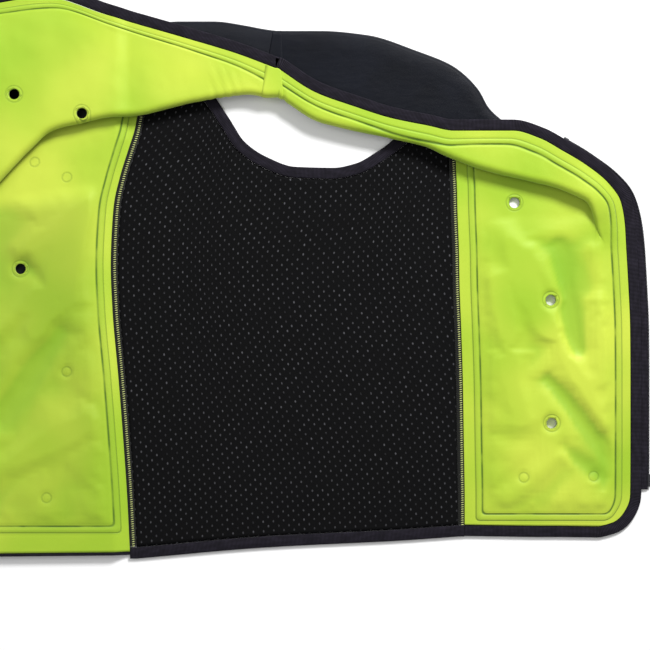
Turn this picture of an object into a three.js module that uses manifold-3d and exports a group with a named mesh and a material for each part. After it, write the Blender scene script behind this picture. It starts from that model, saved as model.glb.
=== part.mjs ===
// Cooling vest, unzipped and laid on the floor with its inner face up.
// The left half is opened out flat. The right half is folded under the back.
// Millimetres, Z up. The side panel's hem centre is the origin until the end.
import * as THREE from 'three';
import { mergeVertices } from 'three/addons/utils/BufferGeometryUtils.js';
import Module from 'manifold-3d';

const wasm = await Module();
wasm.setup();

// Main sizes
const backWidth = 320;
const sideWidth = 316;
const frontWidth = 158;
const vestLength = 500;

// Cloth thicknesses and gaps
const gap = 0.3;
const shellThickness = 1;
const panelThickness = 2.6;
const puff = 1.8;
const meshThickness = 1.6;
const weldMargin = 16;
const weldShare = 0.5;
const tipThickness = 1;

// Pleat: rise at the upper crease and at the lower fold, and the size of a rounded turn
const creaseRise = 7.5;
const foldRise = 5.5;
const turnReach = 3.4;

// Edges
const bindingWidth = 10.6;
const bindingThickness = 3;
const hiddenBindingWidth = 8;
const backHemWidth = 3;
const overlockWidth = 5.4;
const overlockThickness = 2.6;
const seamClearance = 0.8;

// Zipper
const tapeWidth = 5.2;
const tapeThickness = 1.2;
const coilWidth = 2.6;
const coilThickness = 3;
const sliderWidth = 7;
const pinLength = 12;
const stopShare = 0.25;

// Eyelets and the fold of the right side panel
const eyeletDiameter = 10;
const rightFoldRadius = 6;
const foldRecess = 0.6;
const underRise = 4.3;
const rampWidth = 16;

// Stations across the spread vest: 0 right back seam, 1 left back seam, 2 left front seam, 3 left front edge.
const stationX = (s) => {
  if (s < 0) return -sideWidth / 2 - backWidth + s * sideWidth;
  if (s < 1) return -sideWidth / 2 - backWidth + s * backWidth;
  if (s < 2) return -sideWidth / 2 + (s - 1) * sideWidth;
  return sideWidth / 2 + (s - 2) * frontWidth;
};

// Columns of a section's numbers after its four places
const [liftColumn, farRiseColumn, settleColumn] = [8, 9, 10];

// Sections of the back: station and height share of its side edge, crease, fold and far edge,
// then how far the pleat rises and how much of that height is left at the far edge,
// and where between the fold and the far edge it starts to settle.
const backRows = [
  [0.994, -0.021, 0.525, -0.024, 0.431, -0.024, 0.000, -0.020, 0.00, 0.00, 0.00],
  [0.986, 0.082, 0.525, 0.084, 0.431, 0.086, 0.000, 0.090, 0.00, 0.00, 0.00],
  [0.974, 0.194, 0.519, 0.196, 0.425, 0.198, 0.000, 0.200, 0.00, 0.00, 0.00],
  [0.960, 0.308, 0.512, 0.308, 0.419, 0.310, 0.000, 0.310, 0.00, 0.00, 0.00],
  [0.942, 0.440, 0.506, 0.428, 0.412, 0.424, 0.000, 0.410, 0.00, 0.00, 0.00],
  [0.937, 0.524, 0.490, 0.514, 0.430, 0.512, 0.000, 0.500, 0.00, 0.00, 0.00],
  [0.945, 0.630, 0.500, 0.604, 0.444, 0.590, 0.000, 0.600, 0.00, 0.00, 0.00],
  [0.964, 0.690, 0.511, 0.650, 0.515, 0.640, 0.000, 0.690, 0.50, 0.00, 0.10],
  [0.988, 0.740, 0.588, 0.724, 0.575, 0.658, 0.000, 0.770, 0.80, 0.00, 0.12],
  [1.008, 0.780, 0.669, 0.784, 0.644, 0.702, 0.000, 0.860, 1.00, 0.00, 0.14],
  [1.019, 0.816, 0.750, 0.840, 0.706, 0.742, 0.106, 0.904, 1.00, 0.00, 0.15],
  [1.028, 0.848, 0.838, 0.892, 0.769, 0.776, 0.250, 0.956, 1.00, 0.00, 0.18],
  [1.063, 0.910, 0.944, 0.944, 0.850, 0.790, 0.416, 1.000, 1.00, 0.05, 0.30],
  [1.114, 0.932, 1.038, 0.976, 0.938, 0.802, 0.581, 1.016, 1.00, 0.30, 0.45],
  [1.190, 0.940, 1.146, 0.984, 1.022, 0.806, 0.750, 1.028, 1.00, 0.70, 0.60],
  [1.272, 0.940, 1.247, 0.984, 1.136, 0.824, 0.938, 0.992, 1.00, 1.00, 0.70],
  [1.354, 0.932, 1.342, 0.976, 1.259, 0.839, 1.158, 0.952, 1.00, 1.00, 0.50],
  [1.399, 0.928, 1.392, 0.970, 1.348, 0.846, 1.316, 0.922, 1.00, 1.00, 0.50],
  [1.434, 0.924, 1.434, 0.966, 1.405, 0.840, 1.434, 0.894, 1.00, 1.00, 0.50],
];

// Sections of the left front and its strap, in the same columns.
const leftRows = [
  [2.003, 0.030, 2.424, 0.028, 2.551, 0.028, 2.810, 0.027, 0.00, 0.00, 0.00],
  [2.003, 0.036, 2.424, 0.036, 2.557, 0.036, 2.899, 0.035, 0.00, 0.00, 0.00],
  [2.003, 0.052, 2.424, 0.052, 2.570, 0.052, 2.962, 0.054, 0.00, 0.00, 0.00],
  [2.003, 0.084, 2.430, 0.084, 2.582, 0.084, 2.998, 0.088, 0.00, 0.00, 0.00],
  [1.999, 0.180, 2.443, 0.180, 2.608, 0.180, 3.000, 0.184, 0.00, 0.00, 0.00],
  [1.996, 0.300, 2.481, 0.300, 2.658, 0.300, 3.000, 0.300, 0.00, 0.00, 0.00],
  [1.991, 0.400, 2.544, 0.400, 2.722, 0.400, 2.998, 0.400, 0.00, 0.00, 0.00],
  [1.986, 0.484, 2.620, 0.486, 2.797, 0.486, 2.987, 0.484, 0.00, 0.00, 0.00],
  [1.984, 0.552, 2.752, 0.552, 2.836, 0.550, 2.975, 0.550, 0.00, 0.00, 0.00],
  [1.981, 0.600, 2.796, 0.608, 2.814, 0.594, 2.965, 0.600, 0.30, 0.10, 0.00],
  [1.979, 0.636, 2.788, 0.642, 2.782, 0.620, 2.937, 0.644, 0.68, 0.30, 0.00],
  [1.978, 0.670, 2.759, 0.672, 2.741, 0.642, 2.854, 0.680, 0.90, 0.55, 0.00],
  [1.976, 0.700, 2.658, 0.700, 2.652, 0.656, 2.722, 0.712, 1.00, 0.80, 0.00],
  [1.975, 0.730, 2.519, 0.730, 2.519, 0.672, 2.582, 0.738, 1.00, 1.00, 0.00],
  [1.974, 0.760, 2.380, 0.762, 2.354, 0.684, 2.443, 0.762, 1.00, 1.00, 0.00],
  [1.973, 0.784, 2.241, 0.792, 2.177, 0.698, 2.285, 0.776, 1.00, 1.00, 0.00],
  [1.978, 0.806, 2.139, 0.822, 2.025, 0.712, 2.114, 0.776, 1.00, 1.00, 0.00],
  [2.000, 0.824, 2.082, 0.854, 1.949, 0.728, 1.968, 0.776, 1.00, 1.00, 0.00],
  [1.940, 0.860, 1.968, 0.898, 1.880, 0.748, 1.886, 0.786, 1.00, 1.00, 0.00],
  [1.829, 0.892, 1.848, 0.930, 1.785, 0.762, 1.778, 0.800, 1.00, 1.00, 0.00],
  [1.696, 0.920, 1.709, 0.958, 1.680, 0.776, 1.668, 0.822, 1.00, 1.00, 0.00],
  [1.563, 0.928, 1.570, 0.966, 1.566, 0.794, 1.551, 0.849, 1.00, 1.00, 0.00],
  [1.440, 0.924, 1.440, 0.966, 1.446, 0.840, 1.440, 0.894, 1.00, 1.00, 0.00],
];

// Sections of the right front: station and height share of its side edge and of its front edge.
const rightRows = [
  [0.306, 0.002, 0.703, 0.000],
  [0.306, 0.010, 0.750, 0.008],
  [0.306, 0.028, 0.781, 0.028],
  [0.306, 0.064, 0.800, 0.064],
  [0.306, 0.200, 0.800, 0.200],
  [0.306, 0.360, 0.800, 0.360],
  [0.306, 0.520, 0.800, 0.520],
  [0.306, 0.660, 0.800, 0.660],
  [0.306, 0.770, 0.797, 0.736],
  [0.319, 0.830, 0.787, 0.800],
  [0.350, 0.884, 0.772, 0.872],
  [0.381, 0.940, 0.756, 0.940],
  [0.412, 0.988, 0.741, 1.014],
];

// Row numbers where the seams, the armhole edges, the neck and the zipper begin or end
const backSeamRow = 11;
const leftSeamRow = 15;
const rightSeamRow = 8;
const farSeamRow = 9;
const neckRow = 12;
const backArmholeRow = 11.9;
const leftArmholeRow = 16.2;
const rightArmholeRow = 9;
const farArmholeRow = 9.25;
const neckBindingRow = 12.05;
const zipperRows = [3.15, 13];
const rightZipperRows = [3.15, 7.6];

// Armhole scoop of a side panel: share of its width from the back seam, height share.
const scoop = [
  [0, 0.856], [0.094, 0.856], [0.154, 0.85], [0.187, 0.836], [0.247, 0.794], [0.318, 0.745],
  [0.412, 0.71], [0.52, 0.689], [0.639, 0.687], [0.718, 0.696], [0.8, 0.724], [0.9, 0.768], [1, 0.79],
];

// The same scoop on the right side panel, whose ends lie folded.
const rightScoop = [
  [0, 0.858], [0.08, 0.84], [0.16, 0.79], [0.24, 0.75], [0.35, 0.715],
  [0.52, 0.695], [0.7, 0.7], [0.85, 0.735], [1, 0.77],
];

// Hem of a side panel: share of its width, height share.
const sideHem = [[0, -0.013], [0.4, 0.008], [0.82, 0.021], [1, 0.029]];

// Eyelets: station, height share, and whether it is in the turned-over layer.
const backEyelets = [[0.672, 0.516, false], [0.3, 0.5, false], [0.66, 0.844, true], [0.859, 0.808, true]];
const leftEyelets = [[2.302, 0.642, false], [2.519, 0.457, false], [2.525, 0.223, false]];
const rightEyelets = [[0.4, 0.642, false], [0.56, 0.457, false], [0.56, 0.223, false]];

const smooth = (t) => {
  const c = THREE.MathUtils.clamp(t, 0, 1);
  return c * c * (3 - 2 * c);
};

const lookUp = (table, t) => {
  let k = 1;
  while (k < table.length - 1 && table[k][0] < t) k += 1;
  const [a, b] = [table[k - 1], table[k]];
  return THREE.MathUtils.lerp(a[1], b[1], THREE.MathUtils.clamp((t - a[0]) / (b[0] - a[0]), 0, 1));
};

// The back is lifted where the folded right half lies under it.
const liftAt = (x, side) => underRise * smooth((Math.min(stationX(side), stationX(1)) - x) / rampWidth);
const floorLevel = shellThickness + gap / 2;

const planPoint = (row, column) => new THREE.Vector2(stationX(row[column]), row[column + 1] * vestLength);

// A turn of the cloth: it runs on where lift is 0 and doubles back where lift is 1.
function addTurn(path, at, direction, base, rise, lift, steps) {
  for (let k = 0; k < steps; k += 1) {
    const angle = -Math.PI / 2 + (Math.PI * k) / (steps - 1);
    const along = turnReach * (lift * (Math.cos(angle) - 1) + (1 - lift) * Math.sin(angle));
    const spot = at.clone().addScaledVector(direction, along);
    path.push(new THREE.Vector3(spot.x, spot.y, base + 0.5 * rise * lift * (1 + Math.sin(angle))));
  }
}

function addRun(path, from, to, steps) {
  for (let k = 1; k < steps; k += 1) path.push(from.clone().lerp(to, k / steps));
}

// One section: base from the side edge, crease, middle leaf, fold, and top leaf to the far edge.
function pleatSection(row, counts) {
  const [side, crease, fold, far] = [0, 2, 4, 6].map((c) => planPoint(row, c));
  const lift = row[liftColumn];
  const foldIn = fold.clone();
  const runs = [[side, crease], [crease, fold], [fold, far]].map(([a, b]) => b.clone().sub(a).normalize());
  const creaseDirection = runs[0].clone().addScaledVector(runs[1], -lift).normalize();
  const foldDirection = runs[1].clone().addScaledVector(runs[2], -lift).normalize();
  foldIn.addScaledVector(foldDirection, -panelThickness * lift);
  const turns = [[], []];
  const middle = floorLevel + creaseRise * lift;
  addTurn(turns[0], crease, creaseDirection, floorLevel, creaseRise, lift, counts.turn);
  addTurn(turns[1], foldIn, foldDirection, middle, foldRise, lift, counts.turn);
  const start = new THREE.Vector3(side.x, side.y, floorLevel);
  const top = middle + foldRise * lift;
  const end = new THREE.Vector3(far.x, far.y, THREE.MathUtils.lerp(floorLevel, top, row[farRiseColumn]));
  const path = [start];
  addRun(path, start, turns[0][0], counts.base);
  path.push(...turns[0]);
  addRun(path, turns[0].at(-1), turns[1][0], counts.middle);
  path.push(...turns[1]);
  const settle = path.length;
  addRun(path, turns[1].at(-1), end, counts.top);
  path.push(end);
  path.slice(settle).forEach((p, k) => {
    const settled = ((k + 1) / counts.top - row[settleColumn]) / (1 - row[settleColumn]);
    p.z = THREE.MathUtils.lerp(top, end.z, smooth(settled));
  });
  return path;
}

function flatSection(row, level, count) {
  const [side, far] = [planPoint(row, 0), planPoint(row, 2)];
  return Array.from({ length: count }, (_, k) => {
    const spot = side.clone().lerp(far, k / (count - 1));
    return new THREE.Vector3(spot.x, spot.y, level);
  });
}

// Normals of a grid of points, pointing to the vest's inner face. Rows without a pleat point straight up.
function gridNormals(grid, facing, rows = []) {
  const last = [grid.length - 1, grid[0].length - 1];
  return grid.map((line, i) => line.map((_, j) => {
    const across = line[Math.min(j + 1, last[1])].clone().sub(line[Math.max(j - 1, 0)]);
    const up = grid[Math.min(i + 1, last[0])][j].clone().sub(grid[Math.max(i - 1, 0)][j]);
    const normal = across.cross(up).normalize().multiplyScalar(facing);
    const onEdge = j === 0 || j === last[1];
    const pleated = rows.length ? smooth(2 * rows[i][liftColumn]) * (onEdge ? 0 : 1) : 1;
    return new THREE.Vector3(0, 0, 1).lerp(normal, pleated).normalize();
  }));
}

function geometryFrom(points, triangles) {
  const volume = triangles.reduce((sum, [a, b, c]) => {
    const cross = new THREE.Vector3().crossVectors(points[b], points[c]);
    return sum + points[a].dot(cross);
  }, 0);
  const geometry = new THREE.BufferGeometry();
  geometry.setFromPoints(points);
  geometry.setIndex(triangles.flatMap(([a, b, c]) => (volume < 0 ? [a, c, b] : [a, b, c])));
  geometry.computeVertexNormals();
  return geometry;
}

// A closed sheet between two offsets from a grid of points.
function sheet(grid, normals, low, high) {
  const [rows, columns] = [grid.length, grid[0].length];
  const points = [];
  for (const offset of [low, high]) {
    grid.forEach((line, i) => line.forEach((p, j) => {
      points.push(p.clone().addScaledVector(normals[i][j], offset(i, j)));
    }));
  }
  const index = (layer, i, j) => layer * rows * columns + i * columns + j;
  const triangles = [];
  const quad = (a, b, c, d) => triangles.push([a, b, c], [a, c, d]);
  for (let i = 0; i < rows - 1; i += 1) {
    for (let j = 0; j < columns - 1; j += 1) {
      quad(index(0, i, j), index(0, i + 1, j), index(0, i + 1, j + 1), index(0, i, j + 1));
      quad(index(1, i, j), index(1, i, j + 1), index(1, i + 1, j + 1), index(1, i + 1, j));
    }
    quad(index(0, i, 0), index(1, i, 0), index(1, i + 1, 0), index(0, i + 1, 0));
    const end = columns - 1;
    quad(index(0, i, end), index(0, i + 1, end), index(1, i + 1, end), index(1, i, end));
  }
  for (let j = 0; j < columns - 1; j += 1) {
    quad(index(0, 0, j), index(0, 0, j + 1), index(1, 0, j + 1), index(1, 0, j));
    const end = rows - 1;
    quad(index(0, end, j), index(1, end, j), index(1, end, j + 1), index(0, end, j + 1));
  }
  return geometryFrom(points, triangles);
}

// The way out of the cloth at a place along its edge.
function outwardAt(edge, k, side) {
  const next = edge[Math.min(k + 1, edge.length - 1)].point;
  const before = edge[Math.max(k - 1, 0)].point;
  return next.clone().sub(before).cross(edge[k].normal).normalize().multiplyScalar(side);
}

// A strip along an edge, from one distance outside it to another.
function edgeStrip(edge, { inner, outer, low, high, side }) {
  const last = edge.length - 1;
  const corners = [[inner, low], [outer, low], [outer, high], [inner, high]];
  const points = [];
  edge.forEach(({ point, normal }, k) => {
    const outward = outwardAt(edge, k, side);
    for (const [out, height] of corners) {
      points.push(point.clone().addScaledVector(outward, out).addScaledVector(normal, height));
    }
  });
  const triangles = [[0, 1, 2], [0, 2, 3]];
  const end = last * 4;
  triangles.push([end, end + 2, end + 1], [end, end + 3, end + 2]);
  for (let k = 0; k < last; k += 1) {
    for (let c = 0; c < 4; c += 1) {
      const [a, b] = [k * 4 + c, k * 4 + ((c + 1) % 4)];
      triangles.push([a, a + 4, b + 4], [a, b + 4, b]);
    }
  }
  return geometryFrom(points, triangles);
}

function toSolid(geometry) {
  const bare = geometry.clone();
  bare.deleteAttribute('normal');
  bare.deleteAttribute('uv');
  const merged = mergeVertices(bare, 1e-4);
  return new wasm.Manifold(new wasm.Mesh({
    numProp: 3,
    vertProperties: new Float32Array(merged.attributes.position.array),
    triVerts: new Uint32Array(merged.index.array),
  }));
}

function toGeometry(solid) {
  const mesh = solid.getMesh();
  const geometry = new THREE.BufferGeometry();
  geometry.setAttribute('position', new THREE.BufferAttribute(new Float32Array(mesh.vertProperties), 3));
  geometry.setIndex(new THREE.BufferAttribute(new Uint32Array(mesh.triVerts), 1));
  geometry.computeVertexNormals();
  return geometry;
}

// Eyelets are cut through one layer only, between the heights that layer lies at.
function pierce(geometry, eyelets) {
  const reach = 20;
  let solid = toSolid(geometry);
  for (const [station, share, turnedOver] of eyelets) {
    const x = stationX(station);
    const level = liftAt(x, 1) + floorLevel;
    const bottom = turnedOver ? level + creaseRise + shellThickness + gap : -reach;
    const top = turnedOver ? bottom + reach : level + panelThickness + puff + gap;
    const cutter = new THREE.CylinderGeometry(eyeletDiameter / 2, eyeletDiameter / 2, top - bottom, 12);
    cutter.rotateX(Math.PI / 2);
    cutter.translate(x, share * vestLength, (top + bottom) / 2);
    solid = solid.subtract(toSolid(cutter));
  }
  return toGeometry(solid);
}

// Materials
const finish = (color, roughness) => new THREE.MeshStandardMaterial({ color, roughness, metalness: 0 });
const lime = finish(0xb4d22f, 0.62);
const shellCloth = finish(0x23272d, 0.45);
const meshCloth = finish(0x161616, 0.85);
const bindingCloth = finish(0x2b2830, 0.8);
const thread = finish(0x1c1e18, 0.8);
const tapeCloth = finish(0x1d1b20, 0.8);
const plastic = finish(0x18181a, 0.4);

const vest = new THREE.Group();
const add = (name, geometry, material) => {
  const piece = new THREE.Mesh(geometry, material);
  piece.name = name;
  vest.add(piece);
};

// The rows round the place where a pleat begins
const fullPleat = 0.7;
function tipRow(rows, i) {
  return [i - 1, i, i + 1].some((k) => rows[k]?.[liftColumn] > 0 && rows[k][liftColumn] < fullPleat);
}

// Thickness of a lime panel: thin at its welded margin and where a pleat begins, and puffed inside.
function panelHeight(grid, rows) {
  const columns = grid[0].length;
  return (i, j) => {
    if (tipRow(rows, i)) return gap / 2 + tipThickness;
    const point = grid[i][j];
    const fromEnds = Math.min(point.distanceTo(grid[i][0]), point.distanceTo(grid[i][columns - 1]));
    const fromHem = point.distanceTo(grid[0][j]);
    const inside = smooth(Math.min(fromEnds, fromHem) / weldMargin - weldShare);
    const next = rows[Math.min(i + 1, rows.length - 1)];
    const unpleated = next.length > liftColumn ? 1 - smooth(2 * next[liftColumn]) : 0;
    return gap / 2 + panelThickness + puff * inside * unpleated;
  };
}

function addPanel(name, grid, normals, rows, eyelets) {
  const skin = gap / 2;
  const outside = () => -skin - shellThickness;
  const panel = sheet(grid, normals, (i) => skin + (tipRow(rows, i) ? gap : 0), panelHeight(grid, rows));
  const shell = sheet(grid, normals, outside, () => -skin);
  add(`${name}_panel`, pierce(panel, eyelets), lime);
  add(`${name}_shell`, pierce(shell, eyelets), shellCloth);
}

const lowerFace = -gap / 2 - shellThickness;

// Places along a column of a grid, at row numbers that may lie between two rows.
function columnEdge(grid, normals, rows, j) {
  return rows.map((row) => {
    const i = Math.min(Math.floor(row), grid.length - 2);
    const part = row - i;
    return {
      point: grid[i][j].clone().lerp(grid[i + 1][j], part),
      normal: normals[i][j].clone().lerp(normals[i + 1][j], part).normalize(),
    };
  });
}

const rowEdge = (grid, normals, i) => grid[i].map((point, j) => ({ point, normal: normals[i][j] }));

// Row numbers from one place to another, with each whole row between them
function countUp(from, to) {
  const whole = Array.from({ length: Math.ceil(to) }, (_, k) => k);
  return [from, ...whole.filter((k) => k > from), to];
}

// Back
const backGrid = backRows.map((row) => pleatSection(row, { base: 6, turn: 4, middle: 2, top: 6 }));
backGrid.forEach((line, i) => line.forEach((p) => {
  p.z += liftAt(p.x, backRows[i][0]);
}));
const backNormals = gridNormals(backGrid, -1, backRows);
const backEnd = backGrid[0].length - 1;
addPanel('back', backGrid, backNormals, backRows, backEyelets);

// Left front with its strap
const leftGrid = leftRows.map((row) => pleatSection(row, { base: 5, turn: 4, middle: 2, top: 4 }));
const leftNormals = gridNormals(leftGrid, 1, leftRows);
const leftEnd = leftGrid[0].length - 1;
addPanel('left_front', leftGrid, leftNormals, leftRows, leftEyelets);

// Right front, inner face down on the floor
const rightLevel = gap / 2 + panelThickness;
const rightGrid = rightRows.map((row) => flatSection(row, rightLevel, 7));
const rightNormals = gridNormals(rightGrid, -1);
const rightEnd = rightGrid[0].length - 1;
addPanel('right_front', rightGrid, rightNormals, rightRows, rightEyelets);

// Seams: places along each lime panel's side edge, from just above the hem to the armhole
const hemClear = 5;
const seamFrom = (grid) => hemClear / (grid[1][0].y - grid[0][0].y);
const backSeam = columnEdge(backGrid, backNormals, countUp(seamFrom(backGrid), backSeamRow), 0);
const leftSeam = columnEdge(leftGrid, leftNormals, countUp(0, leftSeamRow), 0);
const farSeam = columnEdge(backGrid, backNormals, countUp(seamFrom(backGrid), farSeamRow), backEnd);
const rightSeam = columnEdge(rightGrid, rightNormals, countUp(0, rightSeamRow), 0);

// Overlock seams lie on the mesh side of each lime panel's side edge.
const overlock = {
  inner: gap,
  outer: gap + overlockWidth,
  low: lowerFace,
  high: lowerFace + overlockThickness,
};
const downOverlock = { ...overlock, low: rightLevel - overlockThickness, high: rightLevel };
add('left_back_overlock', edgeStrip(backSeam, { ...overlock, side: 1 }), thread);
add('left_front_overlock', edgeStrip(leftSeam, { ...overlock, side: -1 }), thread);
add('right_back_overlock', edgeStrip(farSeam, { ...overlock, side: -1 }), thread);
add('right_front_overlock', edgeStrip(rightSeam, { ...downOverlock, side: 1 }), thread);

// Left side panel, cut to the outer edges of its two overlock seams
const seamStep = gap + overlockWidth + seamClearance;
const sideColumns = 13;
const riseClear = 0.02;
function sideHeight(share, rise) {
  return vestLength * THREE.MathUtils.lerp(lookUp(sideHem, share), lookUp(scoop, share), rise);
}
const cutOutside = (seam, side) => seam.map(({ point }, k) => {
  const cut = point.clone().addScaledVector(outwardAt(seam, k, side), seamStep);
  return [cut.y, cut.x];
});
const backCut = cutOutside(backSeam, 1);
const frontCut = cutOutside(leftSeam, -1);
const riseOf = (y) => (y - sideHeight(0, 0)) / (sideHeight(0, 1) - sideHeight(0, 0));
const seamRises = backCut.map(([y]) => riseOf(y));
const leftRises = [0, ...seamRises.filter((rise) => rise > riseClear && rise < 1 - riseClear), 1];
const leftSide = leftRises.map((rise) => Array.from({ length: sideColumns }, (_, j) => {
  const share = j / (sideColumns - 1);
  const y = sideHeight(share, rise);
  const x = THREE.MathUtils.lerp(lookUp(backCut, y), lookUp(frontCut, y), share);
  return new THREE.Vector3(x, y, meshThickness / 2);
}));

// The right side panel runs out to a rounded fold and back under the back to the right front.
const foldStart = backGrid[0][backEnd].x - seamStep;
const foldFinish = rightGrid[0][0].x - seamStep;
const foldArc = Math.PI * rightFoldRadius;
const rightWidth = sideWidth - 2 * seamStep;
const foldX = (foldStart + foldFinish - rightWidth + foldArc) / 2;
const foldTop = meshThickness / 2 + 2 * rightFoldRadius;
const foldRun = foldStart - foldX;

function rightTurn(share) {
  const s = share * rightWidth;
  if (s < foldRun) {
    const z = THREE.MathUtils.lerp(underRise + meshThickness, foldTop, smooth(s / foldRun));
    return [foldStart - s, z];
  }
  const angle = Math.min(s - foldRun, foldArc) / rightFoldRadius;
  const past = Math.max(s - foldRun - foldArc, 0);
  const z = meshThickness / 2 + rightFoldRadius * (1 + Math.cos(angle));
  return [foldX - rightFoldRadius * Math.sin(angle) + past, z];
}

// Shares of the right panel's width, closer together round the fold
const rightShares = [0, 0.08, 0.16, 0.24, 0.3, 0.318, 0.334, 0.35, 0.366, 0.384, 0.42, 0.54, 0.68, 0.84, 1];
const rightLines = 7;
const rightHemShare = 0.4;
const rightSide = Array.from({ length: rightLines }, (_, i) => rightShares.map((share) => {
  const rise = i / (rightLines - 1);
  const hem = THREE.MathUtils.lerp(lookUp(sideHem, 0), lookUp(sideHem, 1), rightHemShare * share);
  const y = vestLength * THREE.MathUtils.lerp(hem, lookUp(rightScoop, share), rise);
  const [x, z] = rightTurn(share);
  return new THREE.Vector3(x, y, z);
}));

const halfMesh = meshThickness / 2;
const leftSideNormals = gridNormals(leftSide, 1);
const rightSideNormals = gridNormals(rightSide, -1);
add('left_side_mesh', sheet(leftSide, leftSideNormals, () => -halfMesh, () => halfMesh), meshCloth);
add('right_side_mesh', sheet(rightSide, rightSideNormals, () => -halfMesh, () => halfMesh), meshCloth);

// Bindings
const binding = { inner: gap, outer: gap + bindingWidth, low: lowerFace, high: lowerFace + bindingThickness };
const downBinding = { ...binding, low: rightLevel - bindingThickness, high: rightLevel };
const hiddenBinding = { ...binding, outer: gap + hiddenBindingWidth };
const meshBinding = { ...binding, low: -halfMesh, high: bindingThickness - halfMesh };
const foldedBinding = {
  ...binding,
  inner: 2 * gap,
  low: halfMesh - bindingThickness,
  high: halfMesh - foldRecess,
};
const bind = (name, edge, size, side) => add(name, edgeStrip(edge, { ...size, side }), bindingCloth);

const leftFrontEdge = [
  ...rowEdge(leftGrid, leftNormals, 0),
  ...columnEdge(leftGrid, leftNormals, countUp(1, leftRows.length - 1), leftEnd),
];
const rightFrontEdge = [
  ...rowEdge(rightGrid, rightNormals, 0),
  ...columnEdge(rightGrid, rightNormals, countUp(1, rightRows.length - 1), rightEnd),
];
bind('left_front_binding', leftFrontEdge, binding, 1);
bind('right_front_binding', rightFrontEdge, downBinding, -1);

const hemEnds = [backGrid[0][0].x + gap, leftGrid[0][0].x - gap];
const leftHem = rowEdge(leftSide, leftSideNormals, 0);
function hemEnd(x, near) {
  return { point: new THREE.Vector3(x, near.point.y, near.point.z), normal: near.normal };
}
const leftHemEdge = [hemEnd(hemEnds[0], leftHem[0]), ...leftHem, hemEnd(hemEnds[1], leftHem.at(-1))];
bind('left_side_hem_binding', leftHemEdge, meshBinding, 1);
bind('right_side_hem_binding', rowEdge(rightSide, rightSideNormals, 0), foldedBinding, -1);
bind('back_hem_binding', rowEdge(backGrid, backNormals, 0), { ...binding, outer: gap + backHemWidth }, -1);

bind('left_armhole_binding', rowEdge(leftSide, leftSideNormals, leftSide.length - 1), meshBinding, -1);
bind('right_armhole_binding', rowEdge(rightSide, rightSideNormals, rightLines - 1), foldedBinding, 1);

const downHiddenBinding = { ...downBinding, outer: gap + hiddenBindingWidth };
const [lastBack, lastLeft, lastRight] = [backRows, leftRows, rightRows].map((rows) => rows.length - 1);
const leftArmhole = columnEdge(leftGrid, leftNormals, countUp(leftArmholeRow, lastLeft), 0);
const backArmhole = columnEdge(backGrid, backNormals, countUp(backArmholeRow, lastBack), 0);
const farArmhole = columnEdge(backGrid, backNormals, countUp(farArmholeRow, neckRow), backEnd);
const backNeck = columnEdge(backGrid, backNormals, countUp(neckBindingRow, lastBack), backEnd);
const rightArmhole = columnEdge(rightGrid, rightNormals, countUp(rightArmholeRow, lastRight), 0);
bind('left_strap_armhole_binding', leftArmhole, hiddenBinding, -1);
bind('left_back_armhole_binding', backArmhole, hiddenBinding, 1);
bind('right_back_armhole_binding', farArmhole, hiddenBinding, -1);
bind('back_neck_binding', backNeck, binding, -1);
bind('right_strap_armhole_binding', rightArmhole, downHiddenBinding, 1);

// Zipper: tape and coil along both front edges, a pin and a stop on the left, a closed slider on the right
const tapeCentre = lowerFace + bindingThickness / 2;
const tapeInner = binding.outer + gap;
const coilInner = tapeInner + tapeWidth + gap;
const tape = {
  inner: tapeInner,
  outer: tapeInner + tapeWidth,
  low: tapeCentre - tapeThickness / 2,
  high: tapeCentre + tapeThickness / 2,
};
const coil = {
  inner: coilInner,
  outer: coilInner + coilWidth,
  low: tapeCentre - coilThickness / 2,
  high: tapeCentre + coilThickness / 2,
};
// On the right front, which lies face down, the same heights count from its own lower side.
const turnedOver = (size) => ({
  ...size,
  low: rightLevel - (size.high - lowerFace),
  high: rightLevel - (size.low - lowerFace),
});

const sliderSize = { ...coil, outer: coilInner + sliderWidth };
const zipperSides = [
  ['left', leftGrid, leftNormals, zipperRows, leftEnd, 1, (size) => size, 'zipper_pin', coil],
  ['right', rightGrid, rightNormals, rightZipperRows, rightEnd, -1, turnedOver, 'zipper_slider', sliderSize],
];
for (const [name, grid, normals, rows, j, side, placed, footName, footSize] of zipperSides) {
  const along = (from, to) => columnEdge(grid, normals, countUp(from, to), j);
  const footRow = Math.floor(rows[0]);
  const share = (length) => length / (grid[footRow + 1][j].y - grid[footRow][j].y);
  const foot = edgeStrip(along(rows[0], rows[0] + share(pinLength - gap)), { ...placed(footSize), side });
  const coilEdge = along(rows[0] + share(pinLength), rows[1]);
  add(`${name}_zipper_tape`, edgeStrip(along(...rows), { ...placed(tape), side }), tapeCloth);
  add(`${name}_zipper_coil`, edgeStrip(coilEdge, { ...placed(coil), side }), plastic);
  add(footName, foot, plastic);
}
const stopRow = zipperRows[1];
const stopGap = gap / leftGrid[stopRow][leftEnd].distanceTo(leftGrid[stopRow + 1][leftEnd]);
const stopRows = [stopRow + stopGap, stopRow + stopGap + stopShare];
const stopEdge = columnEdge(leftGrid, leftNormals, stopRows, leftEnd);
add('zipper_top_stop', edgeStrip(stopEdge, { ...coil, outer: coil.outer + gap, side: 1 }), plastic);

// The finished part stands centred on its own box, with its lowest faces at height 0.
vest.updateMatrixWorld(true);
const bounds = new THREE.Box3().setFromObject(vest, true);
const centre = bounds.getCenter(new THREE.Vector3());
vest.position.set(-centre.x, -centre.y, -bounds.min.z);

export default vest;
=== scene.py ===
import bmesh
import bpy
import math
import numpy as np
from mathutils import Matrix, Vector, noise


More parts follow.
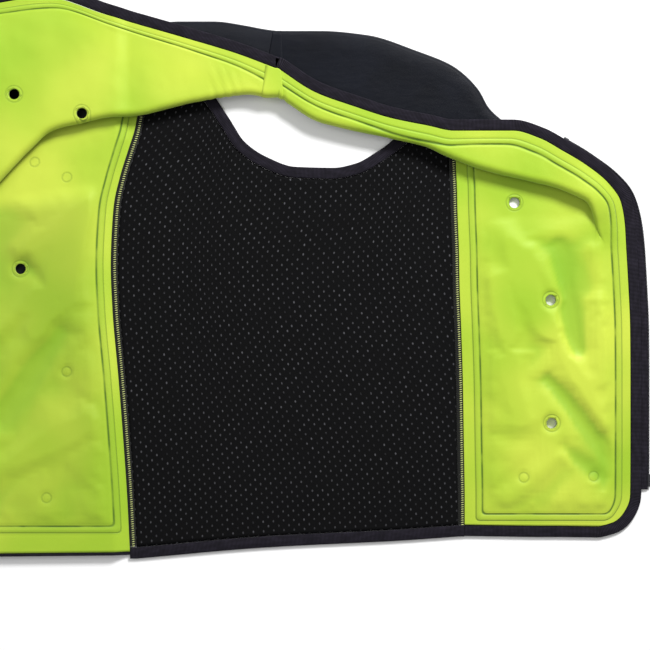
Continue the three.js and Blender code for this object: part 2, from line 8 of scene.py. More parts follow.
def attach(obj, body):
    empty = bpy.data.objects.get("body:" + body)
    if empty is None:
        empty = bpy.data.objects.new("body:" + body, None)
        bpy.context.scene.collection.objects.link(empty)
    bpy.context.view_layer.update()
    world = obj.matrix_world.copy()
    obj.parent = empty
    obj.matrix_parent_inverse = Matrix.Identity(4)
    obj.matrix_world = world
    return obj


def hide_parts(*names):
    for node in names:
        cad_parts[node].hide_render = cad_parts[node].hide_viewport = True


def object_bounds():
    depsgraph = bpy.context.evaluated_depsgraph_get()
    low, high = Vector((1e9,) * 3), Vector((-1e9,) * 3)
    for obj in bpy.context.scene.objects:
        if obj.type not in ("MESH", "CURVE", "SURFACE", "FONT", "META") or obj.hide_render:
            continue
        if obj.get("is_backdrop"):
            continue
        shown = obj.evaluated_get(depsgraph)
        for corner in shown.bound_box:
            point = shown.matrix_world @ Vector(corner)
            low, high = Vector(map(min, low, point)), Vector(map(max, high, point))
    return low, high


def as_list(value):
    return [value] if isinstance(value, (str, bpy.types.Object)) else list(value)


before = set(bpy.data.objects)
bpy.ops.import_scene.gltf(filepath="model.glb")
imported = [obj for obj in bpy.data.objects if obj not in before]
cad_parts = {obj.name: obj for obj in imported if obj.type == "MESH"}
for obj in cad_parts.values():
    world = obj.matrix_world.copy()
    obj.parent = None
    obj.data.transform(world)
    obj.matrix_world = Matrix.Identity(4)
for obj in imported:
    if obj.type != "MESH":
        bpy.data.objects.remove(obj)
cadLow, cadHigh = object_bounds()
print("frame loaded:", len(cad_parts), "nodes")

# Sizes below are in millimetres, in the vest's own layout: the side panel's hem centre is its origin.
vest = {
    "backWidth": 320.0,
    "sideWidth": 316.0,
    "frontWidth": 158.0,
    "length": 500.0,
    "shift": (125.1, -253.7, 0.0),     # from the layout to the shared frame
    "gap": 0.3,
    "shell": 1.0,
    "panel": 2.6,
    "creaseRise": 7.5,
    "foldRise": 5.5,
    "turnReach": 3.4,
    "underRise": 4.3,
    "rampWidth": 16.0,
    "crowding": 1.3,             # how much a section's columns crowd towards the pleat
    "meshThickness": 1.6,
    "overlockWidth": 5.4,
    "seamStep": 6.5,
    "bindingWidth": 10.6,
}
floorLevel = vest["shell"] + vest["gap"] / 2
halfSide = vest["sideWidth"] / 2


def toMetres(points):
    return (np.asarray(points, dtype=float) + np.array(vest["shift"])) / 1000


def stationX(s):
    if s < 0:
        return -halfSide - vest["backWidth"] + s * vest["sideWidth"]
    if s < 1:
        return -halfSide - vest["backWidth"] + s * vest["backWidth"]
    if s < 2:
        return -halfSide + (s - 1) * vest["sideWidth"]
    return halfSide + (s - 2) * vest["frontWidth"]


def smooth(t):
    c = np.clip(t, 0, 1)
    return c * c * (3 - 2 * c)


# camera: straight down on the laid-out vest, as in the photograph
cameraSettings = {
    "centre": (25.7, 204.8),     # mm in the layout, at the middle of the picture
    "pictureWidth": 619.0,       # mm across the whole picture
    "lens": 100.0,
    "sensor": 36.0,
}


def makeCamera(c):
    data = bpy.data.cameras.new("camera")
    data.lens, data.sensor_width = c["lens"], c["sensor"]
    cam = bpy.data.objects.new("camera", data)
    bpy.context.collection.objects.link(cam)
    spot = toMetres([c["centre"][0], c["centre"][1], 0])
    cam.location = (spot[0], spot[1], c["pictureWidth"] / 1000 * c["lens"] / c["sensor"])
    bpy.context.scene.camera = cam


makeCamera(cameraSettings)

# Sections of the back: station and height share of side edge, crease, fold and far edge,
# then the pleat's rise, how much of it is left at the far edge, and where it starts to settle.
backRows = [
    (0.994, -0.021, 0.525, -0.024, 0.431, -0.024, 0.000, -0.020, 0.00, 0.00, 0.00),
    (0.986, 0.082, 0.525, 0.084, 0.431, 0.086, 0.000, 0.090, 0.00, 0.00, 0.00),
    (0.974, 0.194, 0.519, 0.196, 0.425, 0.198, 0.000, 0.200, 0.00, 0.00, 0.00),
    (0.960, 0.308, 0.512, 0.308, 0.419, 0.310, 0.000, 0.310, 0.00, 0.00, 0.00),
    (0.942, 0.440, 0.506, 0.428, 0.412, 0.424, 0.000, 0.410, 0.00, 0.00, 0.00),
    (0.937, 0.524, 0.490, 0.514, 0.430, 0.512, 0.000, 0.500, 0.00, 0.00, 0.00),
    (0.945, 0.630, 0.500, 0.604, 0.444, 0.590, 0.000, 0.600, 0.00, 0.00, 0.00),
    (0.964, 0.690, 0.511, 0.650, 0.515, 0.640, 0.000, 0.690, 0.50, 0.00, 0.10),
    (0.988, 0.740, 0.588, 0.724, 0.575, 0.658, 0.000, 0.770, 0.80, 0.00, 0.12),
    (1.008, 0.780, 0.669, 0.784, 0.644, 0.702, 0.000, 0.860, 1.00, 0.00, 0.14),
    (1.019, 0.816, 0.750, 0.840, 0.706, 0.742, 0.106, 0.904, 1.00, 0.00, 0.15),
    (1.028, 0.848, 0.838, 0.892, 0.769, 0.776, 0.250, 0.956, 1.00, 0.00, 0.18),
    (1.063, 0.910, 0.944, 0.944, 0.850, 0.790, 0.416, 1.000, 1.00, 0.05, 0.30),
    (1.114, 0.932, 1.038, 0.976, 0.938, 0.802, 0.581, 1.016, 1.00, 0.30, 0.45),
    (1.190, 0.940, 1.146, 0.984, 1.022, 0.806, 0.750, 1.028, 1.00, 0.70, 0.60),
    (1.272, 0.940, 1.247, 0.984, 1.136, 0.824, 0.938, 0.992, 1.00, 1.00, 0.70),
    (1.354, 0.932, 1.342, 0.976, 1.259, 0.839, 1.158, 0.952, 1.00, 1.00, 0.50),
    (1.399, 0.928, 1.392, 0.970, 1.348, 0.846, 1.316, 0.922, 1.00, 1.00, 0.50),
    (1.434, 0.924, 1.434, 0.966, 1.405, 0.840, 1.434, 0.894, 1.00, 1.00, 0.50),
]

# Sections of the left front and its strap, in the same columns.
leftRows = [
    (2.003, 0.030, 2.424, 0.028, 2.551, 0.028, 2.810, 0.027, 0.00, 0.00, 0.00),
    (2.003, 0.036, 2.424, 0.036, 2.557, 0.036, 2.899, 0.035, 0.00, 0.00, 0.00),
    (2.003, 0.052, 2.424, 0.052, 2.570, 0.052, 2.962, 0.054, 0.00, 0.00, 0.00),
    (2.003, 0.084, 2.430, 0.084, 2.582, 0.084, 2.998, 0.088, 0.00, 0.00, 0.00),
    (1.999, 0.180, 2.443, 0.180, 2.608, 0.180, 3.000, 0.184, 0.00, 0.00, 0.00),
    (1.996, 0.300, 2.481, 0.300, 2.658, 0.300, 3.000, 0.300, 0.00, 0.00, 0.00),
    (1.991, 0.400, 2.544, 0.400, 2.722, 0.400, 2.998, 0.400, 0.00, 0.00, 0.00),
    (1.986, 0.484, 2.620, 0.486, 2.797, 0.486, 2.987, 0.484, 0.00, 0.00, 0.00),
    (1.984, 0.552, 2.752, 0.552, 2.836, 0.550, 2.975, 0.550, 0.00, 0.00, 0.00),
    (1.981, 0.600, 2.796, 0.608, 2.814, 0.594, 2.965, 0.600, 0.30, 0.10, 0.00),
    (1.979, 0.636, 2.788, 0.642, 2.782, 0.620, 2.937, 0.644, 0.68, 0.30, 0.00),
    (1.978, 0.670, 2.759, 0.672, 2.741, 0.642, 2.854, 0.680, 0.90, 0.55, 0.00),
    (1.976, 0.700, 2.658, 0.700, 2.652, 0.656, 2.722, 0.712, 1.00, 0.80, 0.00),
    (1.975, 0.730, 2.519, 0.730, 2.519, 0.672, 2.582, 0.738, 1.00, 1.00, 0.00),
    (1.974, 0.760, 2.380, 0.762, 2.354, 0.684, 2.443, 0.762, 1.00, 1.00, 0.00),
    (1.973, 0.784, 2.241, 0.792, 2.177, 0.698, 2.285, 0.776, 1.00, 1.00, 0.00),
    (1.978, 0.806, 2.139, 0.822, 2.025, 0.712, 2.114, 0.776, 1.00, 1.00, 0.00),
    (2.000, 0.824, 2.082, 0.854, 1.949, 0.728, 1.968, 0.776, 1.00, 1.00, 0.00),
    (1.940, 0.860, 1.968, 0.898, 1.880, 0.748, 1.886, 0.786, 1.00, 1.00, 0.00),
    (1.829, 0.892, 1.848, 0.930, 1.785, 0.762, 1.778, 0.800, 1.00, 1.00, 0.00),
    (1.696, 0.920, 1.709, 0.958, 1.680, 0.776, 1.668, 0.822, 1.00, 1.00, 0.00),
    (1.563, 0.928, 1.570, 0.966, 1.566, 0.794, 1.551, 0.849, 1.00, 1.00, 0.00),
    (1.440, 0.924, 1.440, 0.966, 1.446, 0.840, 1.440, 0.894, 1.00, 1.00, 0.00),
]

# Sections of the right front: side edge and front edge.
rightRows = [
    (0.306, 0.002, 0.703, 0.000),
    (0.306, 0.010, 0.750, 0.008),
    (0.306, 0.028, 0.781, 0.028),
    (0.306, 0.064, 0.800, 0.064),
    (0.306, 0.200, 0.800, 0.200),
    (0.306, 0.360, 0.800, 0.360),
    (0.306, 0.520, 0.800, 0.520),
    (0.306, 0.660, 0.800, 0.660),
    (0.306, 0.770, 0.797, 0.736),
    (0.319, 0.830, 0.787, 0.800),
    (0.350, 0.884, 0.772, 0.872),
    (0.381, 0.940, 0.756, 0.940),
    (0.412, 0.988, 0.741, 1.014),
]

# Armhole scoop and hem of the side panels: share of the width from the back seam, height share.
scoop = [
    (0, 0.856), (0.094, 0.856), (0.154, 0.85), (0.187, 0.836), (0.247, 0.794), (0.318, 0.745),
    (0.412, 0.71), (0.52, 0.689), (0.639, 0.687), (0.718, 0.696), (0.8, 0.724), (0.9, 0.768), (1, 0.79),
]
rightScoop = [
    (0, 0.858), (0.08, 0.84), (0.16, 0.79), (0.24, 0.75), (0.35, 0.715), (0.52, 0.695),
    (0.7, 0.7), (0.85, 0.735), (1, 0.77),
]
sideHem = [(0, -0.013), (0.4, 0.008), (0.82, 0.021), (1, 0.029)]

# Row numbers where seams end, where the neck binding begins, and from and to where the zipper runs
seamRows = {
    "back": 11, "left": 15, "right": 8, "far": 9, "neck": 12,
    "zipper": (3.15, 13), "rightZipper": (3.15, 7.6),
}


# grids of points

def through(values, samples):
    # a smooth curve through table rows, without overshoot
    values = np.asarray(values, dtype=float)
    step = np.diff(values, axis=0)
    slope = np.zeros_like(values)
    total = step[:-1] + step[1:]
    same = step[:-1] * step[1:] > 0
    slope[1:-1] = np.where(same, 2 * step[:-1] * step[1:] / np.where(same, total, 1), 0)
    slope[0], slope[-1] = step[0], step[-1]
    k = np.clip(np.floor(samples).astype(int), 0, len(values) - 2)
    t = (samples - k).reshape([-1] + [1] * (values.ndim - 1))
    return ((1 + 2 * t) * (1 - t) ** 2 * values[k] + t * (1 - t) ** 2 * slope[k]
            + t * t * (3 - 2 * t) * values[k + 1] + t * t * (t - 1) * slope[k + 1])


def lookUp(table, t, fineness=20):
    places, heights = zip(*table)
    fine = np.linspace(0, len(table) - 1, fineness * len(table))
    return np.interp(t, through(places, fine), through(heights, fine))


def direction(v):
    return v / max(np.linalg.norm(v), 1e-9)


def corner(row, column):
    return np.array([stationX(row[column]), row[column + 1] * vest["length"]])


def turnPath(at, way, base, rise, lift, steps):
    angle = np.linspace(-math.pi / 2, math.pi / 2, steps)
    along = vest["turnReach"] * (lift * (np.cos(angle) - 1) + (1 - lift) * np.sin(angle))
    spots = at + along[:, None] * way
    return np.column_stack([spots, base + 0.5 * rise * lift * (1 + np.sin(angle))])


def runPath(start, end, shares):
    return start + np.asarray(shares)[:, None] * (end - start)


def pleatSection(row, counts):
    # base from the side edge, crease, middle leaf, fold, and top leaf to the far edge
    side, crease, fold, far = (corner(row, c) for c in (0, 2, 4, 6))
    lift, kept, settles = row[8:]
    turn, crowding = counts["turn"], vest["crowding"]
    ways = [direction(b - a) for a, b in ((side, crease), (crease, fold), (fold, far))]
    creaseWay = direction(ways[0] - lift * ways[1])
    foldWay = direction(ways[1] - lift * ways[2])
    middle = floorLevel + vest["creaseRise"] * lift
    top = middle + vest["foldRise"] * lift
    creaseTurn = turnPath(crease, creaseWay, floorLevel, vest["creaseRise"], lift, turn)
    foldTurn = turnPath(fold - vest["panel"] * lift * foldWay, foldWay, middle, vest["foldRise"], lift, turn)
    end = np.append(far, floorLevel + (top - floorLevel) * kept)
    opening = np.linspace(0, 1, counts["base"], endpoint=False) ** crowding
    closing = np.linspace(0, 1, counts["top"] + 1)[1:]
    leaf = np.linspace(0, 1, counts["middle"] + 1)[1:-1]
    last = runPath(foldTurn[-1], end, 1 - (1 - closing) ** crowding)
    last[:, 2] = top + (end[2] - top) * smooth((closing - settles) / (1 - settles))
    base = runPath(np.append(side, floorLevel), creaseTurn[0], opening)
    return np.vstack([base, creaseTurn, runPath(creaseTurn[-1], foldTurn[0], leaf), foldTurn, last])


def rowSamples(rows, spacing):
    # row numbers close enough together for that spacing along the side edge and the fold, or the front edge
    second = 4 if len(rows[0]) > 4 else 2
    samples = [0.0]
    for k in range(len(rows) - 1):
        lengths = [np.linalg.norm(corner(rows[k + 1], c) - corner(rows[k], c)) for c in (0, second)]
        n = max(2, int(math.ceil(max(lengths) / spacing)))
        samples += list(np.linspace(k, k + 1, n + 1)[1:])
    return np.array(samples)


def gridNormals(grid, facing):
    normals = np.cross(np.gradient(grid, axis=1), np.gradient(grid, axis=0))
    for _ in range(3):
        normals[1:-1] = (normals[:-2] + 2 * normals[1:-1] + normals[2:]) / 4
        normals[:, 1:-1] = (normals[:, :-2] + 2 * normals[:, 1:-1] + normals[:, 2:]) / 4
    return facing * normals / np.maximum(np.linalg.norm(normals, axis=2, keepdims=True), 1e-9)


def runLengths(grid, axis):
    steps = np.linalg.norm(np.diff(grid, axis=axis), axis=2)
    total = np.cumsum(steps, axis=axis)
    return np.insert(total, 0, 0, axis=axis)


def softMin(a, b, k):
    h = np.clip(0.5 + 0.5 * (b - a) / k, 0, 1)
    return b + (a - b) * h - k * h * (1 - h)


def roughness(grid, scale, seed):
    flat = grid.reshape(-1, 3)
    values = [noise.noise(Vector((p[0] / scale[0], p[1] / scale[1], seed))) for p in flat]
    return np.array(values).reshape(grid.shape[:2])


def foldHeights(grid, folds):
    # each fold: from x, y to x, y, half width and height, in millimetres
    height = np.zeros(grid.shape[:2])
    for x0, y0, x1, y1, width, rise in folds:
        a, b = np.array([x0, y0]), np.array([x1, y1])
        along = (grid[..., :2] - a) @ (b - a) / ((b - a) @ (b - a))
        nearest = a + np.clip(along, 0, 1)[..., None] * (b - a)
        away = np.linalg.norm(grid[..., :2] - nearest, axis=2)
        fade = smooth(np.minimum(along + 0.25, 1.25 - along) * 4)
        height += rise * np.exp(-(away / width) ** 2) * fade
    return height


# meshes

def addObject(name, data):
    obj = bpy.data.objects.new(name, data)
    bpy.context.collection.objects.link(obj)
    return obj


def addMesh(name, points, faces, uvs=None, floats=None):
    mesh = bpy.data.meshes.new(name)
    mesh.from_pydata(toMetres(points).tolist(), [], [tuple(int(i) for i in f) for f in faces])
    mesh.validate()
    if uvs is not None:
        layer = mesh.uv_layers.new(name="flat")
        index = np.zeros(len(mesh.loops), dtype=int)
        mesh.loops.foreach_get("vertex_index", index)
        layer.data.foreach_set("uv", (np.asarray(uvs)[index] / 1000).ravel())
    for key, values in (floats or {}).items():
        attribute = mesh.attributes.new(key, "FLOAT", "POINT")
        attribute.data.foreach_set("value", np.asarray(values, dtype=float).ravel())
    mesh.polygons.foreach_set("use_smooth", [True] * len(mesh.polygons))
    return addObject(name, mesh)


def quadsOf(number):
    corners = [number[:-1, :-1], number[:-1, 1:], number[1:, 1:], number[1:, :-1]]
    return np.stack(corners, axis=2).reshape(-1, 4)


def closedSheet(name, grid, normals, low, high, floats=None):
    rows, columns = grid.shape[:2]
    count = rows * columns
    layers = [grid + normals * np.broadcast_to(h, (rows, columns))[..., None] for h in (low, high)]
    number = np.arange(count).reshape(rows, columns)
    quads = quadsOf(number)
    rim = np.concatenate([number[0, :-1], number[:-1, -1], number[-1, :0:-1], number[:0:-1, 0]])
    after = np.roll(rim, -1)
    walls = np.column_stack([rim, after, after + count, rim + count])
    faces = np.concatenate([quads[:, ::-1], quads + count, walls])
    # turned round where the grid's own direction is against its normals
    i, j = rows // 3, columns // 8
    spread = np.cross(grid[i, j + 1] - grid[i, j], grid[i + 1, j] - grid[i, j])
    if np.dot(spread, normals[i, j]) < 0:
        faces = faces[:, ::-1]
    uvs = np.tile(np.stack([runLengths(grid, 1), runLengths(grid, 0)], axis=2).reshape(-1, 2), (2, 1))
    doubled = {key: np.tile(np.asarray(v).ravel(), 2) for key, v in (floats or {}).items()}
    return addMesh(name, np.concatenate(layers).reshape(-1, 3), faces, uvs, doubled)


def resample(points, normals, spacing):
    points, normals = np.asarray(points, dtype=float), np.asarray(normals, dtype=float)
    length = np.insert(np.cumsum(np.linalg.norm(np.diff(points, axis=0), axis=1)), 0, 0)
    keep = np.insert(np.diff(length) > 1e-6, 0, True)
    places = np.linspace(0, length[-1], max(3, int(length[-1] / spacing) + 1))
    lines = [np.column_stack([np.interp(places, length[keep], line[keep, c]) for c in range(3)])
             for line in (points, normals)]
    return lines[0], lines[1], places


def outward(points, normals, side):
    out = np.cross(np.gradient(points, axis=0), normals)
    for _ in range(4):
        out[1:-1] = (out[:-2] + 2 * out[1:-1] + out[2:]) / 4
    return side * out / np.linalg.norm(out, axis=1, keepdims=True)


def edgeStrip(name, edge, size, side, spacing, roundness):
    # a folded band along an edge, with a rounded section
    points, normals, places = resample(edge[0], edge[1], spacing)
    out = outward(points, normals, side)
    inner, outer, low, high = size
    flatPart = 0.05
    r = min(roundness, (high - low) / 2 - flatPart, (outer - inner) / 2 - flatPart)
    corners = ((outer - r, low + r), (outer - r, high - r), (inner + r, high - r), (inner + r, low + r))
    section = []
    for (x, y), start in zip(corners, (-90, 0, 90, 180)):
        for k in range(4):
            a = math.radians(start + 30 * k)
            section.append((x + r * math.cos(a), y + r * math.sin(a)))
    section = np.array(section)
    m, n = len(section), len(points)
    ring = (points[:, None, :] + section[None, :, :1] * out[:, None, :]
            + section[None, :, 1:] * normals[:, None, :])
    number = np.arange(n * m).reshape(n, m)
    a, b = number[:-1], number[1:]
    faces = list(np.stack([a, np.roll(a, -1, 1), np.roll(b, -1, 1), b], axis=2).reshape(-1, 4))
    faces += [number[0][::-1], number[-1]]
    along, across = np.broadcast_to(places[:, None], (n, m)), np.broadcast_to(section[None, :, 0], (n, m))
    obj = addMesh(name, ring.reshape(-1, 3), faces, np.stack([along, across], axis=2).reshape(-1, 2))
    cleanNormals(obj)
    return obj


def cleanNormals(obj):
    bm = bmesh.new()
    bm.from_mesh(obj.data)
    bmesh.ops.recalc_face_normals(bm, faces=bm.faces)
    bm.to_mesh(obj.data)
    bm.free()


# materials

def linear(red, green, blue):
    shares = [c / 255 for c in (red, green, blue)]
    # screen values to linear light
    return tuple(((c + 0.055) / 1.055) ** 2.4 if c > 0.04045 else c / 12.92 for c in shares) + (1.0,)


class Nodes:
    # short calls for building a material's node tree
    def __init__(self, name, finish):
        self.material = bpy.data.materials.new(name)
        self.material.use_nodes = True
        self.tree = self.material.node_tree
        self.shader = self.tree.nodes["Principled BSDF"]
        self.shader.inputs["Roughness"].default_value = finish["roughness"]
        self.shader.inputs["Sheen Weight"].default_value = finish.get("sheen", 0.0)
        self.shader.inputs["Specular IOR Level"].default_value = finish["specular"]
        self.normal = None

    def add(self, kind, **values):
        node = self.tree.nodes.new(kind)
        for key, value in values.items():
            setattr(node, key, value)
        return node

    def put(self, socket, value):
        if isinstance(value, bpy.types.NodeSocket):
            self.tree.links.new(value, socket)
        else:
            socket.default_value = value

    def attribute(self, name):
        return self.add("ShaderNodeAttribute", attribute_name=name, attribute_type="GEOMETRY").outputs["Fac"]

    def flat(self):
        return self.add("ShaderNodeUVMap", uv_map="flat").outputs["UV"]

    def place(self):
        return self.add("ShaderNodeTexCoord").outputs["Object"]

    def spread(self, vector, scale):
        node = self.add("ShaderNodeMapping")
        self.put(node.inputs["Vector"], vector)
        node.inputs["Scale"].default_value = scale
        return node.outputs["Vector"]

    def noise(self, vector, scale, detail=3.0, rough=0.5):
        node = self.add("ShaderNodeTexNoise")
        self.put(node.inputs["Vector"], vector)
        for socket, v in (("Scale", scale), ("Detail", detail), ("Roughness", rough)):
            node.inputs[socket].default_value = v
        return node.outputs["Fac"]

    def wave(self, vector, scale, axis="X"):
        node = self.add("ShaderNodeTexWave", bands_direction=axis)
        self.put(node.inputs["Vector"], vector)
        node.inputs["Scale"].default_value = scale
        return node.outputs["Fac"]

    def weave(self, vector, scaleX, scaleY):
        return self.times(self.wave(vector, scaleX, "X"), self.wave(vector, scaleY, "Y"))

    def math(self, operation, a, b=None):
        node = self.add("ShaderNodeMath", operation=operation)
        self.put(node.inputs[0], a)
        if b is not None:
            self.put(node.inputs[1], b)
        return node.outputs[0]

    def times(self, a, b):
        return self.math("MULTIPLY", a, b)

    def larger(self, a, b):
        return self.math("MAXIMUM", a, b)

    def spanned(self, value, low, high, toLow=0.0, toHigh=1.0):
        node = self.add("ShaderNodeMapRange", interpolation_type="SMOOTHSTEP")
        sockets = ("Value", "From Min", "From Max", "To Min", "To Max")
        for socket, v in zip(sockets, (value, low, high, toLow, toHigh)):
            self.put(node.inputs[socket], v)
        return node.outputs[0]

    def line(self, value, centre, halfWidth):
        away = self.math("ABSOLUTE", self.math("SUBTRACT", value, centre))
        return self.spanned(away, 0.0, halfWidth, 1.0, 0.0)

    def mix(self, factor, a, b):
        node = self.add("ShaderNodeMix", data_type="RGBA")
        self.put(node.inputs["Factor"], factor)
        self.put(node.inputs[6], a)
        self.put(node.inputs[7], b)
        return node.outputs[2]

    def colour(self, value):
        self.put(self.shader.inputs["Base Color"], value)

    def bump(self, height, distance, strength):
        node = self.add("ShaderNodeBump")
        node.inputs["Distance"].default_value = distance
        node.inputs["Strength"].default_value = strength
        self.put(node.inputs["Height"], height)
        if self.normal is not None:
            self.tree.links.new(self.normal, node.inputs["Normal"])
        self.normal = node.outputs["Normal"]
        self.put(self.shader.inputs["Normal"], self.normal)


# Each bump is its distance in metres and its strength.
limeFinish = {
    "bright": linear(186, 202, 62),
    "deep": linear(146, 182, 34),
    # painted shade, mixed in by each panel's share of painted shade
    "shade": linear(118, 142, 29),
    "hollow": linear(96, 158, 16),   # painted shade, greener in the hollows between the folds
    "line": linear(70, 104, 16),
    "strip": linear(120, 160, 36),
    "crease": linear(48, 74, 12),    # painted shade on the underside of a fold
    "roughness": 0.5,
    "sheen": 0.15,
    "specular": 0.3,
    "cloudScale": 7.0,
    "cloudRange": (0.3, 0.7),
    "stripSides": ((8.0, 9.0), (12.6, 14.2)),    # mm from the panel's edge, where it fades in and out
    "stripShare": 0.25,
    # how strongly the painted shade under the fold darkens the lime
    "paintedFoldShadeShare": 0.85,
    "innerWeld": (14.2, 1.35),       # mm from the edge and half width
    "innerBreaks": (0.3, 0.6, 0.55, 1.0),
    "breakScale": 45.0,
    "outerWeld": (8.0, 0.9),
    "outerShare": 0.55,
    "eyeletRing": (8.0, 1.2),
    "eyeletRim": (5.0, 0.9),
    "ringShares": (0.5, 0.6),
    "dotRing": (4.6, 1.4),
    "dotShare": 0.28,
    "weave": 900.0,
    "grainScale": 60.0,
    "grainBump": (0.0006, 0.35),
    "markBump": (-0.0008, 0.8),
    "weaveBump": (0.00006, 0.6),
}


def limeCloth(f):
    n = Nodes("limeCloth", f)
    flat, place = n.flat(), n.place()
    weld, eyelet, dot = n.attribute("weld"), n.attribute("eyelet"), n.attribute("dot")
    rising, falling = f["stripSides"]
    strip = n.times(n.spanned(weld, *rising), n.spanned(weld, *falling, 1.0, 0.0))
    base = n.mix(n.spanned(n.noise(place, f["cloudScale"], 2.0), *f["cloudRange"]), f["deep"], f["bright"])
    # painted shade: the back panel darker away from its edges, in broad patches
    base = n.mix(n.attribute("tone"), base, f["shade"])
    # painted shade in the hollows between the folds
    base = n.mix(n.attribute("hollow"), base, f["hollow"])
    base = n.mix(n.times(strip, f["stripShare"]), base, f["strip"])
    # painted shade on the middle leaf and the underside of the fold
    base = n.mix(n.times(n.attribute("under"), f["paintedFoldShadeShare"]), base, f["crease"])
    broken = n.spanned(n.noise(place, f["breakScale"], 2.0), *f["innerBreaks"])
    inner = n.times(n.line(weld, *f["innerWeld"]), broken)
    seam = n.larger(n.times(n.line(weld, *f["outerWeld"]), f["outerShare"]), inner)
    ring = n.times(n.line(eyelet, *f["eyeletRing"]), f["ringShares"][0])
    ring = n.larger(ring, n.line(eyelet, *f["eyeletRim"]))
    spot = n.times(n.line(dot, *f["dotRing"]), f["dotShare"])
    marks = n.larger(seam, n.larger(n.times(ring, f["ringShares"][1]), spot))
    n.colour(n.mix(marks, base, f["line"]))
    n.bump(n.noise(place, f["grainScale"], 4.0, 0.6), *f["grainBump"])
    n.bump(marks, *f["markBump"])
    n.bump(n.weave(flat, f["weave"], f["weave"]), *f["weaveBump"])
    return n.material


shellFinish = {
    "dark": linear(7, 8, 12),
    "light": linear(19, 22, 31),
    "roughness": 0.45,
    "specular": 0.1,
    "mottle": 30.0,
    "grain": (40, 90, 40),
    "weave": 700.0,
    "grainBump": (0.0012, 0.5),
    "weaveBump": (0.00008, 0.8),
}


def shellCloth(f):
    n = Nodes("shellCloth", f)
    place = n.place()
    n.colour(n.mix(n.noise(place, f["mottle"], 4.0), f["dark"], f["light"]))
    n.bump(n.noise(n.spread(place, f["grain"]), 1.0, 3.0, 0.55), *f["grainBump"])
    n.bump(n.weave(n.flat(), f["weave"], f["weave"]), *f["weaveBump"])
    return n.material


meshFinish = {
    "ground": linear(6, 6, 7),
    "knit": linear(17, 17, 18),
    "dot": linear(84, 84, 88),
    "cell": (9.72, 9.0),         # mm between dots in one line, and twice the distance between lines
    "dotSize": (0.95, 1.4),
    "dotEdge": (0.55, 1.15),
    "roughness": 0.8,
    "specular": 0.08,
    "fine": (480.0, 380.0),
    "unevenScale": 220.0,
    "uneven": (0.35, 0.75, 0.12, 0.9),
    "fineBump": (0.0002, 0.8),
    "dotBump": (0.0006, 0.9),
}


def sideMesh(f):
    n = Nodes("sideMesh", f)
    flat = n.flat()
    axes = n.add("ShaderNodeSeparateXYZ")
    n.put(axes.inputs[0], flat)

    def squared(axis, shift):
        # distance from the nearest dot's middle along one axis, in dot sizes
        cell = f["cell"][axis]
        share = n.math("DIVIDE", n.times(axes.outputs[axis], 1000.0), cell)
        share = n.math("SUBTRACT", n.math("FRACT", n.math("ADD", share, shift)), 0.5)
        away = n.math("DIVIDE", n.times(share, cell), f["dotSize"][axis])
        return n.times(away, away)

    away = [n.math("SQRT", n.math("ADD", squared(0, shift), squared(1, shift))) for shift in (0.0, 0.5)]
    dots = n.larger(*[n.spanned(a, *f["dotEdge"], 1.0, 0.0) for a in away])
    fine = n.weave(flat, *f["fine"])
    uneven = n.spanned(n.noise(flat, f["unevenScale"], 2.0), *f["uneven"])
    n.colour(n.mix(n.times(dots, uneven), n.mix(fine, f["ground"], f["knit"]), f["dot"]))
    n.bump(fine, *f["fineBump"])
    n.bump(dots, *f["dotBump"])
    return n.material


bindingFinish = {
    "dark": linear(12, 11, 15),
    "light": linear(50, 46, 58),
    "ribPitch": 1.25,
    "roughness": 0.75,
    "sheen": 0.02,
    "specular": 0.08,
    "wearGrain": (90, 300, 90),
    "wear": (0.3, 0.8, 0.35, 0.9),
    "ribBump": (0.0004, 0.7),
    "wearBump": (0.0005, 0.3),
}


def ribbedBand(f):
    n = Nodes("ribbedBand", f)
    flat = n.flat()
    # the wave node's bands lie pi / 10 apart at scale 1
    ribs = n.wave(flat, 1000 * math.pi / (10 * f["ribPitch"]))
    wear = n.noise(n.spread(flat, f["wearGrain"]), 1.0, 3.0)
    n.colour(n.mix(n.times(ribs, n.spanned(wear, *f["wear"])), f["dark"], f["light"]))
    n.bump(ribs, *f["ribBump"])
    n.bump(wear, *f["wearBump"])
    return n.material


threadFinish = {
    "ground": linear(22, 24, 16),
    "light": linear(226, 236, 150),
    "black": linear(16, 16, 17),
    "darker": 0.6,
    "roughness": 0.7,
    "sheen": 0.2,
    "specular": 0.2,
    "mottle": 700.0,
    "twist": 2500.0,
    "twistBump": (0.0001, 0.6),
}


def plainThread(name, colour, f):
    n = Nodes(name, f)
    place = n.place()
    darker = tuple(c * f["darker"] for c in colour[:3]) + (1.0,)
    n.colour(n.mix(n.noise(place, f["mottle"], 2.0), darker, colour))
    n.bump(n.noise(place, f["twist"], 2.0), *f["twistBump"])
    return n.material


plasticFinish = {
    "dark": linear(18, 18, 20),
    "light": linear(48, 48, 54),
    "roughness": 0.35,
    "specular": 0.4,
    "mottle": 160.0,
    "grain": 900.0,
    "grainBump": (0.0001, 0.4),
}


def zipperPlastic(f):
    n = Nodes("zipperPlastic", f)
    n.colour(n.mix(n.noise(n.place(), f["mottle"], 3.0), f["dark"], f["light"]))
    n.bump(n.noise(n.place(), f["grain"], 2.0), *f["grainBump"])
    return n.material


lime = limeCloth(limeFinish)
shell = shellCloth(shellFinish)
knit = sideMesh(meshFinish)
ribbed = ribbedBand(bindingFinish)
blackThread = plainThread("blackThread", threadFinish["black"], threadFinish)
seamGround = plainThread("seamGround", threadFinish["ground"], threadFinish)
limeThread = plainThread("limeThread", threadFinish["light"], threadFinish)
plastic = zipperPlastic(plasticFinish)
print("materials made")


def pieceName(node, ending):
    first, *rest = node.split("_")
    return first + "".join(word.capitalize() for word in rest) + ending


def finishPiece(obj, material, node):
    obj.data.materials.clear()
    obj.data.materials.append(material)
    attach(obj, "root")
    if node:
        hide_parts(node)
